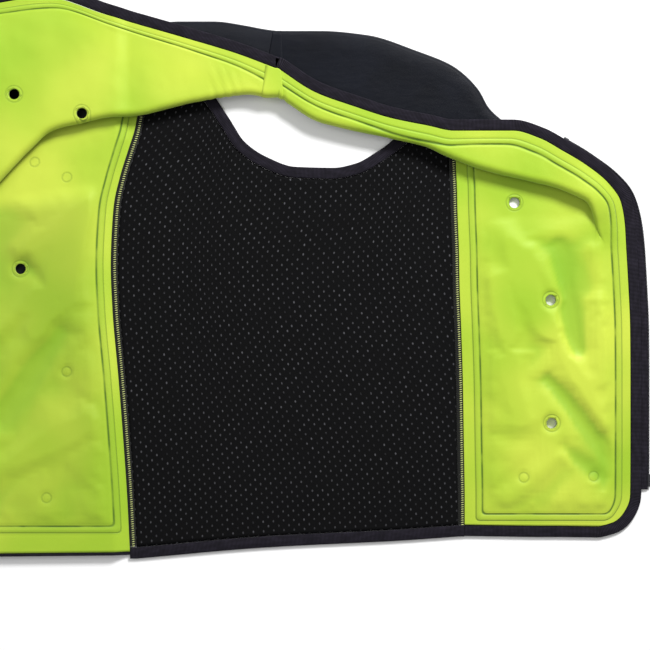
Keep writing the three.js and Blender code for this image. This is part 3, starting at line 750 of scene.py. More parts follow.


# Welded panels: heights of rim, bead and middle, and the weld field's start at the side edge and hem.
# Eyelets are station, height share and whether they go through the turned-over layer. Pressed dots and
# folds are in the picture's points. Gathers at the shoulder are from x, to x, pitch and height.

# Each panel's painted shade is set by two shares: one over its middle, one in the hollows between its folds.
panels = {
    "back": {
        "spacing": 2.45,
        "counts": {"base": 66, "turn": 9, "middle": 14, "top": 62},
        "rim": 2.1, "bead": 2.9, "full": 4.7,
        "edgeShift": 0.0, "hem": -0.5,
        "eyelets": [(0.672, 0.516, False), (0.3, 0.5, False), (0.66, 0.844, True), (0.859, 0.808, True)],
        "dots": [(68, 178), (68, 371.5), (48, 497), (36, 163), (-40, 300), (-70, 430)],
        "folds": [
            (-158, 500, -30, 390, 14, 2.0), (-120, 420, -60, 300, 10, -1.6), (40, 330, 95, 200, 13, 2.0),
            (0, 470, 90, 420, 12, 1.6), (0, 420, 60, 330, 11, -1.6), (20, 250, 90, 215, 10, 1.5),
            (26, 262, 60, 300, 7, -1.6), (0, 330, 50, 285, 10, 1.4), (35, 165, 20, 200, 6, 1.2),
        ],
        "gathers": (-90.0, -50.0, 9.0, 0.3),
        "seed": 3.1, "wrinkle": 0.5, "tone": 0.5, "foldShare": 0.7, "hollow": 0.3,
    },
    "left": {
        "spacing": 2.2,
        "counts": {"base": 46, "turn": 9, "middle": 12, "top": 36},
        "rim": 2.1, "bead": 2.9, "full": 4.6,
        "edgeShift": 2.6, "hem": 10.8,
        "eyelets": [(2.302, 0.642, False), (2.519, 0.457, False), (2.525, 0.223, False)],
        "dots": [(523, 477), (593, 476)],
        "folds": [
            (505, 225, 545, 330, 11, 2.0), (546, 322, 604, 425, 9, 1.6), (558, 245, 576, 350, 8, -1.9),
            (548, 378, 612, 458, 9, -1.8), (592, 300, 598, 380, 9, 1.0),
            (495, 280, 520, 420, 11, 1.6), (592, 250, 612, 400, 8, 1.4), (505, 500, 560, 455, 9, 0.8),
            (562, 447, 604, 478, 7, -0.9), (530, 250, 560, 300, 7, 1.2),
        ],
        "gathers": (-52.0, -6.0, 6.5, 0.9),
        "seed": 7.7, "wrinkle": 0.45, "tone": 0.0, "foldShare": 0.9, "hollow": 0.5,
    },
    "right": {
        "spacing": 5.0,
        "columns": 40,
        "counts": {"base": 0, "turn": 0, "middle": 0},
        "rim": 2.0, "bead": 2.3, "full": 2.6,
        "edgeShift": 2.6, "hem": 0.0,
        "eyelets": [(0.4, 0.642, False), (0.56, 0.457, False), (0.56, 0.223, False)],
        "dots": [], "folds": [], "seed": 1.3, "wrinkle": 0.0, "tone": 0.0, "foldShare": 0.0, "hollow": 0.0,
    },
}


picture = {"origin": (298, 540), "scale": 1.05}      # the layout's origin, and points in a millimetre


def fromPicture(px, py):
    return (px - picture["origin"][0]) / picture["scale"], (picture["origin"][1] - py) / picture["scale"]


def liftAt(x, side):
    edge = np.minimum(side, stationX(1))
    return vest["underRise"] * smooth((edge - x) / vest["rampWidth"])


def makeGrid(rows, p, lifted):
    samples = rowSamples(rows, p["spacing"])
    grid = through(np.array([pleatSection(row, p["counts"]) for row in rows]), samples)
    if lifted:
        grid[..., 2] += liftAt(grid[..., 0], grid[:, :1, 0])
    return grid, samples, np.interp(samples, range(len(rows)), [row[8] for row in rows])


def fieldOf(grid, p):
    lengths = runLengths(grid, 1)
    edge = softMin(lengths - p["edgeShift"], lengths[:, -1:] - lengths, relief["edgeRounding"])
    return softMin(edge, grid[..., 1] - p["hem"], relief["hemRounding"])


def nearest(grid, spots):
    away = np.full(grid.shape[:2], 99.0)
    for x, y in spots:
        away = np.minimum(away, np.hypot(grid[..., 0] - x, grid[..., 1] - y))
    return away


def paintedFoldShadeMask(grid, counts, pleat):
    # 1 on the middle leaf and the lower half of the fold that ends it, where shade is painted
    if not counts["base"]:
        return np.zeros(grid.shape[:2])
    columns = np.arange(grid.shape[1])
    first = counts["base"] + counts["turn"] // 2
    turned = 0.45                # share of the fold's turn
    last = counts["base"] + counts["turn"] + counts["middle"] - 1 + counts["turn"] * turned
    inside = np.clip(columns - first, 0, 1) * np.clip(last - columns, 0, 1)
    return smooth(2 * pleat - 0.2)[:, None] * inside[None, :]


# Each lime panel's inner skin, slack between its welds, settles as real cloth, and its hills and
# hollows are laid on the panel. The box is left, right, bottom and top in millimetres.
settling = {
    "cell": 5.0,
    "frames": 18,
    "start": 1.5,
    "rough": (0.8, (45, 60)),    # height and size of the unevenness that it starts with
    "cloth": {
        "vertex_group_mass": "welded", "quality": 6, "mass": 0.2, "tension_stiffness": 30,
        "compression_stiffness": 12, "bending_stiffness": 0.8, "shrink_min": -0.012,
        "use_pressure": True, "uniform_pressure_force": 0.3,
    },
    "cap": 2.3,                  # most millimetres up or down on the panel
    "soften": 4.5,
    "boxes": {"back": (-470.0, -180.0, 14.0, 420.0), "left": (170.0, 306.0, 24.0, 372.0)},
}


def settledSkin(key, p, folds):
    c, box = settling, settling["boxes"][key]
    nx, ny = int((box[1] - box[0]) / c["cell"]), int((box[3] - box[2]) / c["cell"])
    xs, ys = np.linspace(box[0], box[1], nx), np.linspace(box[2], box[3], ny)
    flat = np.zeros((ny, nx, 3))
    flat[..., 0], flat[..., 1] = np.meshgrid(xs, ys)
    rise, size = c["rough"]
    flat[..., 2] = c["start"] * foldHeights(flat, folds) + rise * roughness(flat, size, p["seed"] + 2)
    flat[[0, -1], :, 2], flat[:, [0, -1], 2] = 0, 0
    number = np.arange(nx * ny).reshape(ny, nx)
    skin = addMesh(key + "Skin", flat.reshape(-1, 3), quadsOf(number))
    border = np.concatenate([number[0], number[-1], number[:, 0], number[:, -1]])
    skin.vertex_groups.new(name="welded").add([int(k) for k in border], 1.0, "REPLACE")
    cloth = skin.modifiers.new("settle", "CLOTH")
    for name, value in c["cloth"].items():
        setattr(cloth.settings, name, value)
    cloth.settings.effector_weights.gravity = 0
    cloth.collision_settings.use_collision = False
    cloth.point_cache.frame_start, cloth.point_cache.frame_end = 1, c["frames"]
    for frameNumber in range(1, c["frames"] + 1):
        bpy.context.scene.frame_set(frameNumber)
    settled = bpy.data.meshes.new_from_object(skin.evaluated_get(bpy.context.evaluated_depsgraph_get()))
    spots = np.zeros(len(settled.vertices) * 3)
    settled.vertices.foreach_get("co", spots)
    height = spots.reshape(ny, nx, 3)[..., 2] * 1000
    bpy.data.objects.remove(skin)
    bpy.data.meshes.remove(settled)
    bpy.context.scene.frame_set(1)
    print("settled", key, nx, ny, "from", round(float(height.min()), 2), "to", round(float(height.max()), 2))
    return xs, ys, height


def sampled(field, grid):
    # heights of a settled skin at a grid's places, by the four nearest points
    xs, ys, height = field
    u = np.clip((grid[..., 0] - xs[0]) / (xs[1] - xs[0]), 0, len(xs) - 1.001)
    v = np.clip((grid[..., 1] - ys[0]) / (ys[1] - ys[0]), 0, len(ys) - 1.001)
    i, j = u.astype(int), v.astype(int)
    a, b = smooth(u - i), smooth(v - j)
    return ((height[j, i] * (1 - a) + height[j, i + 1] * a) * (1 - b)
            + (height[j + 1, i] * (1 - a) + height[j + 1, i + 1] * a) * b)


# A groove is its middle and half width, as a distance from the edge, eyelet or dot, and its depth.
relief = {
    "edgeRounding": 3.0,
    "hemRounding": 4.0,
    "bead": (7.0, 2.0),          # mm from the edge where it starts, and over which it rises
    "pillow": (13.0, 16.0),
    "innerWeld": (14.2, 1.3, 0.9),
    "outerWeld": (8.0, 1.0, 0.5),
    "eyeletDish": (7.5, 2.2, 1.2),
    "eyeletFlat": (7, 0.3),
    "dotRing": (4.6, 1.3, 0.9),
    "dotMiddle": (0.0, 3.5, 0.3),
    "limits": (1.5, 7.0),
    "softShare": (1.2, 0.15),    # how fast hills rise from the weld, and what is left of them on it
    "gatherFades": (14, 8),
    "gatherSlant": 0.35,
    "hills": ((1.4, (26, 40)), (0.5, (9, 14))),      # height and size, large and small
    # painted shade over a panel's middle: how far in from the edge it reaches, and the size of its patches
    "paintedShadeReach": 40,
    "paintedShadePatches": (120, 160),
    # painted shade in the hollows: the relief height where it starts, and how much deeper it is full
    "paintedHollowShadeRange": (0.2, 2.4),
}


def groove(away, form):
    middle, width, depth = form
    return depth * np.exp(-((away - middle) / width) ** 2)


def gathered(grid, form):
    low, high, pitch, rise = form
    x, y = grid[..., 0], grid[..., 1]
    first, second = relief["gatherFades"]
    near = smooth((x - low) / first) * smooth((high - x) / second)
    return rise * near * np.sin(2 * math.pi * (x + relief["gatherSlant"] * y) / pitch)


def panelSheet(name, key, grid, normals, pleat):
    p, r = panels[key], relief
    field = fieldOf(grid, p)
    flatness = (1 - smooth(2 * pleat))[:, None]
    eyelet = nearest(grid, [(stationX(s), y * vest["length"]) for s, y, over in p["eyelets"]])
    dot = nearest(grid, [fromPicture(*d) for d in p["dots"]])
    pillow = smooth((field - r["pillow"][0]) / r["pillow"][1])
    full = p["bead"] + (p["full"] - p["bead"]) * flatness
    height = p["rim"] + (p["bead"] - p["rim"]) * smooth((field - r["bead"][0]) / r["bead"][1])
    height = height - groove(field, r["innerWeld"]) - groove(field, r["outerWeld"])
    height += (full - p["bead"]) * pillow
    height -= flatness * groove(eyelet, r["eyeletDish"])
    height -= np.where((eyelet < r["eyeletFlat"][0]) & (flatness > 0.5), r["eyeletFlat"][1], 0)
    height -= flatness * groove(dot, r["dotRing"]) + groove(dot, r["dotMiddle"])
    folds = [fromPicture(a, b) + fromPicture(c, d) + (w, rise) for a, b, c, d, w, rise in p["folds"]]
    soft = p["wrinkle"] * sum(rise * roughness(grid, size, p["seed"] + 5 * k)
                              for k, (rise, size) in enumerate(r["hills"]))
    if folds:
        skin = settledSkin(key, p, folds)
        soft += gathered(grid, p["gathers"]) * (1 - flatness)
        soft += settling["cap"] * np.tanh(sampled(skin, grid) / settling["soften"]) * flatness
        soft += p["foldShare"] * foldHeights(grid, folds) * flatness
    rising, least = r["softShare"]
    height = np.clip(height + soft * np.clip(pillow * rising, least, 1), *r["limits"])
    start, reach = r["paintedHollowShadeRange"]
    # patches of the painted shade
    patches = 0.7 + 0.6 * roughness(grid, r["paintedShadePatches"], p["seed"])
    floats = {
        # after the weld, eyelet and dot distances comes the mask of painted shade under the fold
        "weld": field, "eyelet": eyelet, "dot": dot, "under": paintedFoldShadeMask(grid, p["counts"], pleat),
        "tone": p["tone"] * flatness * smooth(field / r["paintedShadeReach"]) * patches,
        # painted shade where the soft relief sinks
        "hollow": p["hollow"] * smooth((start - soft) / reach) * flatness * pillow,
    }
    return closedSheet(name, grid, normals, vest["gap"] / 2, vest["gap"] / 2 + height, floats)


eyeletCut = {"radius": 5.0, "segments": 40, "reach": 20, "above": 12}


def pierce(obj, p, base):
    # eyelets go through one layer only, between the heights that layer lies at
    c = eyeletCut
    bm = bmesh.new()
    for station, share, over in p["eyelets"]:
        x = stationX(station)
        level = float(liftAt(np.array(x), stationX(1))) + base
        low = level + vest["creaseRise"] + vest["shell"] + vest["gap"] if over else -c["reach"]
        top = low + c["reach"] if over else level + c["above"]
        radius = c["radius"] / 1000
        made = bmesh.ops.create_cone(bm, cap_ends=True, segments=c["segments"], radius1=radius,
                                     radius2=radius, depth=(top - low) / 1000)
        middle = Vector(toMetres([x, share * vest["length"], (top + low) / 2]))
        bmesh.ops.translate(bm, verts=made["verts"], vec=middle)
    mesh = bpy.data.meshes.new("eyeletCutters")
    bm.to_mesh(mesh)
    bm.free()
    cutter = addObject("eyeletCutters", mesh)
    cut = obj.modifiers.new("eyelets", "BOOLEAN")
    cut.object, cut.operation, cut.solver = cutter, "DIFFERENCE", "MANIFOLD"
    applyModifiers(obj)
    bpy.data.objects.remove(cutter)


def applyModifiers(obj):
    bpy.context.view_layer.update()
    finished = bpy.data.meshes.new_from_object(obj.evaluated_get(bpy.context.evaluated_depsgraph_get()))
    old = obj.data
    obj.modifiers.clear()
    obj.data = finished
    bpy.data.meshes.remove(old)


def thinned(grid):
    # every second row and column, with the last ones kept
    picks = [np.unique(np.append(np.arange(0, n, 2), n - 1)) for n in grid.shape[:2]]
    return grid[np.ix_(*picks)]


def addHalf(key, label, grid, normals, pleat, base):
    panel = panelSheet(pieceName(label, "PanelPadded"), key, grid, normals, pleat)
    outside = -vest["gap"] / 2 - vest["shell"]
    outer = closedSheet(pieceName(label, "ShellCloth"), thinned(grid), thinned(normals),
                        outside, outside + vest["shell"])
    pierce(panel, panels[key], base)
    pierce(outer, panels[key], base)
    finishPiece(panel, lime, label + "_panel")
    finishPiece(outer, shell, label + "_shell")
    return panel, outer


backGrid, backSamples, backPleat = makeGrid(backRows, panels["back"], True)
backNormals = gridNormals(backGrid, -1)
backPanel, backShell = addHalf("back", "back", backGrid, backNormals, backPleat, floorLevel)

leftGrid, leftSamples, leftPleat = makeGrid(leftRows, panels["left"], False)
leftNormals = gridNormals(leftGrid, 1)
leftPanel, leftShell = addHalf("left", "left_front", leftGrid, leftNormals, leftPleat, floorLevel)

rightLevel = vest["gap"] / 2 + vest["panel"]
rightColumns = np.linspace(0, 1, panels["right"]["columns"])
rightEnds = [[np.append(corner(row, c), rightLevel) for c in (0, 2)] for row in rightRows]
rightSamples = rowSamples(rightRows, panels["right"]["spacing"])
rightGrid = through(np.array([runPath(*ends, rightColumns) for ends in rightEnds]), rightSamples)
rightNormals = np.zeros_like(rightGrid)
rightNormals[..., 2] = -1
rightPleat = np.zeros(len(rightGrid))
rightPanel, rightShell = addHalf("right", "right_front", rightGrid, rightNormals, rightPleat, 0)
print("welded panels and shells made")


# The shoulder seam joins the back's strap end to the left front's, over base, pleat and top leaf.
shoulder = {"reach": 2, "points": 150, "steps": 9, "lime": (0.2, 3.15), "shell": (-1.25, -0.1)}


def evenLine(points, count):
    # the same line in equal steps, with what its further columns hold
    length = np.insert(np.cumsum(np.linalg.norm(np.diff(points, axis=0), axis=1)), 0, 0)
    places = np.linspace(0, length[-1], count)
    return np.column_stack([np.interp(places, length, points[:, c]) for c in range(points.shape[1])])


def shoulderSeam(c):
    lines = []
    for grid, normals, picks in ((backGrid, backNormals, (-1 - c["reach"], -1)),
                                 (leftGrid, leftNormals, (-1, -1 - c["reach"]))):
        for k in picks:
            places = evenLine(grid[k], c["points"])
            facing = evenLine(np.hstack([grid[k], normals[k]]), c["points"])[:, 3:]
            lines.append(np.hstack([places, facing]))
    table = through(np.array(lines), np.linspace(0, 3, c["steps"]))
    grid, normals = table[..., :3], table[..., 3:]
    normals = normals / np.linalg.norm(normals, axis=2, keepdims=True)
    inner = closedSheet("shoulderSeamLime", grid, normals, *c["lime"])
    outer = closedSheet("shoulderSeamShell", grid, normals, *c["shell"])
    finishPiece(inner, lime, None)
    finishPiece(outer, shell, None)
    return inner, outer


seamInner, seamOuter = shoulderSeam(shoulder)


# edges: places and normals along a grid's column or row

def columnEdge(grid, samples, column, start, end, normal):
    places = np.concatenate([[start], samples[(samples > start) & (samples < end)], [end]])
    points = np.column_stack([np.interp(places, samples, grid[:, column, c]) for c in range(3)])
    return withNormal(points, normal)


def withNormal(points, normal):
    return points, np.tile(normal, (len(points), 1))


def joined(a, b):
    return np.vstack([a[0], b[0][1:]]), np.vstack([a[1], b[1][1:]])


upright, facingDown = np.array([0.0, 0.0, 1.0]), np.array([0.0, 0.0, -1.0])
halfMesh = vest["meshThickness"] / 2
lowerFace = -vest["gap"] / 2 - vest["shell"]


def seamStart(grid, samples, clear=5.0, firstRows=12):
    # row number at that height above the hem, on the side edge
    return float(np.interp(grid[0, 0, 1] + clear, grid[:firstRows, 0, 1], samples[:firstRows]))


backSeam = columnEdge(backGrid, backSamples, 0, seamStart(backGrid, backSamples), seamRows["back"], upright)
leftSeam = columnEdge(leftGrid, leftSamples, 0, 0, seamRows["left"], upright)
farSeam = columnEdge(backGrid, backSamples, -1, 0.1, seamRows["far"], upright)
rightSeam = columnEdge(rightGrid, rightSamples, 0, 0, seamRows["right"], facingDown)


# stitches, coil teeth and other small forms repeated along a path

def beadTree():
    tree = bpy.data.node_groups.new("beadsAlongPath", "GeometryNodeTree")
    sockets = [("Geometry", "Geometry"), ("Pitch", "Float"), ("Size", "Vector"), ("Offset", "Vector"),
               ("Turn", "Vector"), ("Finish", "Material")]
    for name, kind in sockets:
        tree.interface.new_socket(name, in_out="INPUT", socket_type="NodeSocket" + kind)
    tree.interface.new_socket("Geometry", in_out="OUTPUT", socket_type="NodeSocketGeometry")
    add = tree.nodes.new
    source, result = add("NodeGroupInput"), add("NodeGroupOutput")
    curve, dots = add("GeometryNodeMeshToCurve"), add("GeometryNodeCurveToPoints")
    dots.mode = "LENGTH"
    bead, shape = add("GeometryNodeMeshUVSphere"), add("GeometryNodeTransform")
    bead.inputs["Segments"].default_value = 8
    bead.inputs["Rings"].default_value = 5
    bead.inputs["Radius"].default_value = 0.5
    along, raised = add("FunctionNodeAlignRotationToVector"), add("FunctionNodeAlignRotationToVector")
    along.axis, raised.axis, raised.pivot_axis = "X", "Z", "X"
    raised.inputs["Vector"].default_value = (0, 0, 1)
    placed, real = add("GeometryNodeInstanceOnPoints"), add("GeometryNodeRealizeInstances")
    soft, finish = add("GeometryNodeSetShadeSmooth"), add("GeometryNodeSetMaterial")
    for start, output, end, socket in (
        (source, "Geometry", curve, 0), (curve, 0, dots, "Curve"), (source, "Pitch", dots, "Length"),
        (bead, "Mesh", shape, "Geometry"), (source, "Size", shape, "Scale"),
        (source, "Offset", shape, "Translation"), (source, "Turn", shape, "Rotation"),
        (dots, "Tangent", along, "Vector"), (along, 0, raised, "Rotation"),
        (dots, "Points", placed, "Points"), (shape, 0, placed, "Instance"),
        (raised, 0, placed, "Rotation"), (placed, 0, real, 0),
        (real, 0, soft, 0), (soft, 0, finish, "Geometry"), (source, "Finish", finish, "Material"),
        (finish, 0, result, 0),
    ):
        tree.links.new(start.outputs[output], end.inputs[socket])
    return tree


beads = beadTree()


def beadsAlong(name, points, settings, material):
    # settings: pitch, size, offset and turn in millimetres and degrees; x runs along the path, y to its left
    points, _, _ = resample(points, points, 1.0)
    mesh = bpy.data.meshes.new(name)
    mesh.from_pydata(toMetres(points).tolist(), [(k, k + 1) for k in range(len(points) - 1)], [])
    obj = addObject(name, mesh)
    modifier = obj.modifiers.new("beads", "NODES")
    modifier.node_group = beads
    named = {item.name: item.identifier for item in beads.interface.items_tree if item.in_out == "INPUT"}
    modifier[named["Pitch"]] = settings["pitch"] / 1000
    modifier[named["Size"]] = [v / 1000 for v in settings["size"]]
    modifier[named["Offset"]] = [v / 1000 for v in settings["offset"]]
    modifier[named["Turn"]] = [math.radians(v) for v in settings["turn"]]
    modifier[named["Finish"]] = material
    applyModifiers(obj)
    return obj


def shifted(edge, side, out, rise):
    points, normals, _ = resample(edge[0], edge[1], 2.0)
    return points + out * outward(points, normals, side) + rise * normals


# Overlock seams: a rounded black band with pale cross threads and a loop chain along both edges
overlock = {
    "thickness": 2.4,
    "overlap": 0.7,              # onto the knit
    "spacing": 1.6,
    "roundness": 1.1,
    "loopInset": 0.7,
    "loopSink": 0.1,
    "crossRise": 0.02,
    "downFrom": (0.1, 2.4),      # on the right front, which faces down
    "cross": {"pitch": 2.1, "size": (0.72, 3.0, 0.7), "offset": (0, 0, 0), "turn": (0, 0, 10)},
    "darkCross": {"pitch": 2.1, "size": (1.0, 5.2, 0.55), "offset": (1.05, 0, 0), "turn": (0, 0, -8)},
    "loop": {"pitch": 2.1, "size": (2.3, 0.6, 0.6), "offset": (0, 0, 0), "turn": (0, 0, 24)},
}


def addOverlock(node, edge, side, shift, down=False):
    c = overlock
    inner, outer = vest["gap"] / 2, vest["gap"] + vest["overlockWidth"] + c["overlap"]
    low, top = c["downFrom"] if down else (lowerFace, lowerFace + c["thickness"])
    size = (inner, outer, low, top)
    band = edgeStrip(pieceName(node, "Band"), edge, size, side, c["spacing"], c["roundness"])
    finishPiece(band, seamGround, node)
    middle = (inner + outer) / 2
    rows = [("cross", middle + shift, limeThread, "Cross"), ("darkCross", middle, blackThread, "Dark"),
            ("loop", inner + c["loopInset"], blackThread, "LoopInner"),
            ("loop", outer - c["loopInset"], blackThread, "LoopOuter")]
    for key, out, material, word in rows:
        rise = top - c["loopSink"] if key == "loop" else top + c["crossRise"]
        stitches = beadsAlong(pieceName(node, word), shifted(edge, side, out, rise), c[key], material)
        finishPiece(stitches, material, None)


# the pale threads lie a little off the band's middle: towards the knit on the back, towards the lime in front
addOverlock("left_back_overlock", backSeam, 1, 0.5)
addOverlock("left_front_overlock", leftSeam, -1, -1.2)
addOverlock("right_back_overlock", farSeam, -1, 0.5)
addOverlock("right_front_overlock", rightSeam, 1, -1.2, True)
print("overlock seams made")


# Side panels of open knit mesh
sidePanel = {
    "rows": 110,
    "columns": 110,
    "rightRows": 70,
    "foldColumns": 14,
    "wave": 0.9,
    "waveSize": (60, 90),
    "edgeShare": 1 / 8,          # of the panel's width and height, over which the waves rise
    "seed": 12.4,
    "foldRadius": 6.0,
    "rightHemShare": 0.4,
}


def outerCut(edge, side):
    points, normals, _ = resample(edge[0], edge[1], 3.0)
    moved = points + vest["seamStep"] * outward(points, normals, side)
    return moved[:, 1], moved[:, 0]


backCut, frontCut = outerCut(backSeam, 1), outerCut(leftSeam, -1)


def leftSideGrid(p):
    share = np.linspace(0, 1, p["columns"])
    low, high = lookUp(sideHem, share), lookUp(scoop, share)
    rise = np.linspace(0, 1, p["rows"])[:, None]
    y = vest["length"] * (low + (high - low) * rise)
    x = np.interp(y, *backCut) * (1 - share) + np.interp(y, *frontCut) * share
    grid = np.stack([x, y, np.full_like(y, halfMesh)], axis=2)
    inside = np.minimum(np.minimum(share, 1 - share), np.minimum(rise, 1 - rise)) / p["edgeShare"]
    grid[..., 2] += p["wave"] * (0.5 + roughness(grid, p["waveSize"], p["seed"])) * smooth(inside)
    return grid


def rightSideGrid(p):
    # from the back's far edge out to the fold and under it to the right front
    radius, width = p["foldRadius"], vest["sideWidth"] - 2 * vest["seamStep"]
    start = backGrid[0, -1, 0] - vest["seamStep"]
    finish = rightGrid[0, 0, 0] - vest["seamStep"]
    arc = math.pi * radius
    foldX = (start + finish - width + arc) / 2
    run = start - foldX
    foldShares = (run + arc * np.linspace(0, 1, p["foldColumns"])) / width
    share = np.unique(np.concatenate([np.linspace(0, 1, p["columns"]), foldShares]))
    s = share * width
    angle = np.clip(s - run, 0, arc) / radius
    past = np.maximum(s - run - arc, 0)
    before = s < run
    x = np.where(before, start - s, foldX - radius * np.sin(angle) + past)
    startZ, topZ = vest["underRise"] + vest["meshThickness"], halfMesh + 2 * radius
    z = np.where(before, startZ + (topZ - startZ) * smooth(s / run), halfMesh + radius * (1 + np.cos(angle)))
    hem = sideHem[0][1] + (sideHem[-1][1] - sideHem[0][1]) * p["rightHemShare"] * share
    rise = np.linspace(0, 1, p["rightRows"])[:, None]
    y = vest["length"] * (hem + (lookUp(rightScoop, share) - hem) * rise)
    return np.stack([np.broadcast_to(x, y.shape), y, np.broadcast_to(z, y.shape)], axis=2)


leftSide = leftSideGrid(sidePanel)
leftMesh = closedSheet("leftSideKnit", leftSide, gridNormals(leftSide, 1), -halfMesh, halfMesh)
finishPiece(leftMesh, knit, "left_side_mesh")
rightSide = rightSideGrid(sidePanel)
rightSideNormals = gridNormals(rightSide, -1)
rightMesh = closedSheet("rightSideKnit", rightSide, rightSideNormals, -halfMesh, halfMesh)
finishPiece(rightMesh, knit, "right_side_mesh")
print("side panels made")


# Bindings: ribbed tape folded round the edges
binding = {
    "thickness": 3.0,
    "hiddenWidth": 8.0,
    "backHemWidth": 3.0,
    "foldRecess": 0.6,
    "spacing": 1.5,
    "roundness": 1.2,
}
# band sizes: inner and outer side from the edge, and from and to which height
g, w, thick = vest["gap"], vest["bindingWidth"], binding["thickness"]
hidden = g + binding["hiddenWidth"]
bandSize = (g, g + w, lowerFace, lowerFace + thick)
hiddenBand = (g, hidden, lowerFace, lowerFace + thick)
hemBand = (g, g + binding["backHemWidth"], lowerFace, lowerFace + thick)
meshBand = (g, g + w, -halfMesh, thick - halfMesh)
foldedBand = (2 * g, g + w, halfMesh - thick, halfMesh - binding["foldRecess"])
# the right front faces down: heights count down from its points, so the band reaches the floor side
rightBand = (g, g + w, rightLevel - thick, rightLevel)
rightHidden = (g, hidden, rightLevel - thick, rightLevel)


def addBinding(node, edge, size, side):
    band = edgeStrip(pieceName(node, "Band"), edge, size, side, binding["spacing"], binding["roundness"])
    finishPiece(band, ribbed, node)


def overSeam(line, normals):
    # a side panel's band also covers the end of the seam beside it
    first = line[0] + np.array([vest["seamStep"] - g, 0, 0])
    return np.vstack([first, line]), np.vstack([normals[0], normals])


def flattened(line):
    return np.column_stack([line[:, :2], np.full(len(line), halfMesh)])


lastBack, lastLeft, lastRight = len(backRows) - 1, len(leftRows) - 1, len(rightRows) - 1
# the left front's band runs on to the end of the back's strap
frontSide = columnEdge(leftGrid, leftSamples, -1, 0, lastLeft, upright)
leftFrontEdge = joined(withNormal(leftGrid[0], upright), frontSide)
leftFrontEdge = joined(leftFrontEdge, withNormal(np.array([leftFrontEdge[0][-1], backGrid[-1, -1]]), upright))
rightSideEdge = columnEdge(rightGrid, rightSamples, -1, 0, lastRight, facingDown)
rightFrontEdge = joined(withNormal(rightGrid[0], facingDown), rightSideEdge)
leftHem = flattened(leftSide[0])
hemStart = [backGrid[0, 0, 0] + g, leftHem[0, 1], halfMesh]
hemEnd = [leftGrid[0, 0, 0] - g, leftHem[-1, 1], halfMesh]
strapStart, backStart, farStart = seamRows["left"] + 1.2, seamRows["back"] + 0.9, seamRows["far"] + 0.08
bindings = [
    ("left_front_binding", leftFrontEdge, bandSize, 1),
    ("right_front_binding", rightFrontEdge, rightBand, -1),
    ("left_side_hem_binding", withNormal(np.vstack([hemStart, leftHem, hemEnd]), upright), meshBand, 1),
    ("right_side_hem_binding", overSeam(rightSide[0], rightSideNormals[0]), foldedBand, -1),
    ("back_hem_binding", withNormal(backGrid[0], upright), hemBand, -1),
    ("left_armhole_binding", withNormal(flattened(leftSide[-1]), upright), meshBand, -1),
    ("right_armhole_binding", overSeam(rightSide[-1], rightSideNormals[-1]), foldedBand, 1),
    ("left_strap_armhole_binding",
     columnEdge(leftGrid, leftSamples, 0, strapStart, lastLeft, upright), hiddenBand, -1),
    ("left_back_armhole_binding",
     columnEdge(backGrid, backSamples, 0, backStart, lastBack, upright), hiddenBand, 1),
    ("right_back_armhole_binding",
     columnEdge(backGrid, backSamples, -1, farStart, seamRows["neck"], upright), hiddenBand, -1),
    ("back_neck_binding",
     columnEdge(backGrid, backSamples, -1, seamRows["neck"], lastBack, upright), bandSize, -1),
    ("right_strap_armhole_binding",
     columnEdge(rightGrid, rightSamples, 0, seamRows["right"] + 1, lastRight, facingDown), rightHidden, 1),
]
for node, edge, size, side in bindings:
    addBinding(node, edge, size, side)
print("bindings made")


# Zipper: woven tape, a moulded coil along it, the top stop, and the pin and slider from the CAD
zipper = {
    "tapeWidth": 5.2,
    "tapeThickness": 1.2,
    "tapeUnder": (0.1, 1.0),     # how far the tape reaches under the binding and under the coil
    "tapeRoundness": 0.4,
    "coil": {"pitch": 1.35, "size": (0.95, 2.7, 2.3), "offset": (0, 0, 0), "turn": (0, 0, 10)},
    "coilStep": 1.5,             # from the tape's edge to the coil's middle
    "coilStart": 12.5,           # above the tape's lower end
    "coilLevel": 1.5,            # above the shell's outer face
    "spacing": 1.5,
    "core": 1.5,
    "coreRoundness": 0.6,
    "tuck": 6.0,                 # mm inwards and down at the top end of the left half
    "tuckDrop": 2.0,
    "tuckSpan": (0.62, 0.92),    # shares of the zipper's length where it starts and is complete
    "stop": {"rows": 0.2, "half": 1.7, "halfHeight": 1.5, "spacing": 0.8, "roundness": 1.1},
}
tapeInner = g + w - zipper["tapeUnder"][0]
coilMiddle = tapeInner + zipper["tapeWidth"] + zipper["coilStep"]
leftCentre, rightCentre = lowerFace + zipper["coilLevel"], rightLevel - zipper["coilLevel"]


def tucked(edge, turn, most):
    # the edge moves in and down as the zipper slips behind the binding
    points, normals, places = resample(edge[0], edge[1], 2.0)
    start, end = zipper["tuckSpan"]
    share = smooth((places / places[-1] - start) / (end - start))[:, None] * most
    aside = share * zipper["tuck"] * outward(points, normals, turn)
    return points - aside - share * zipper["tuckDrop"] * normals, normals


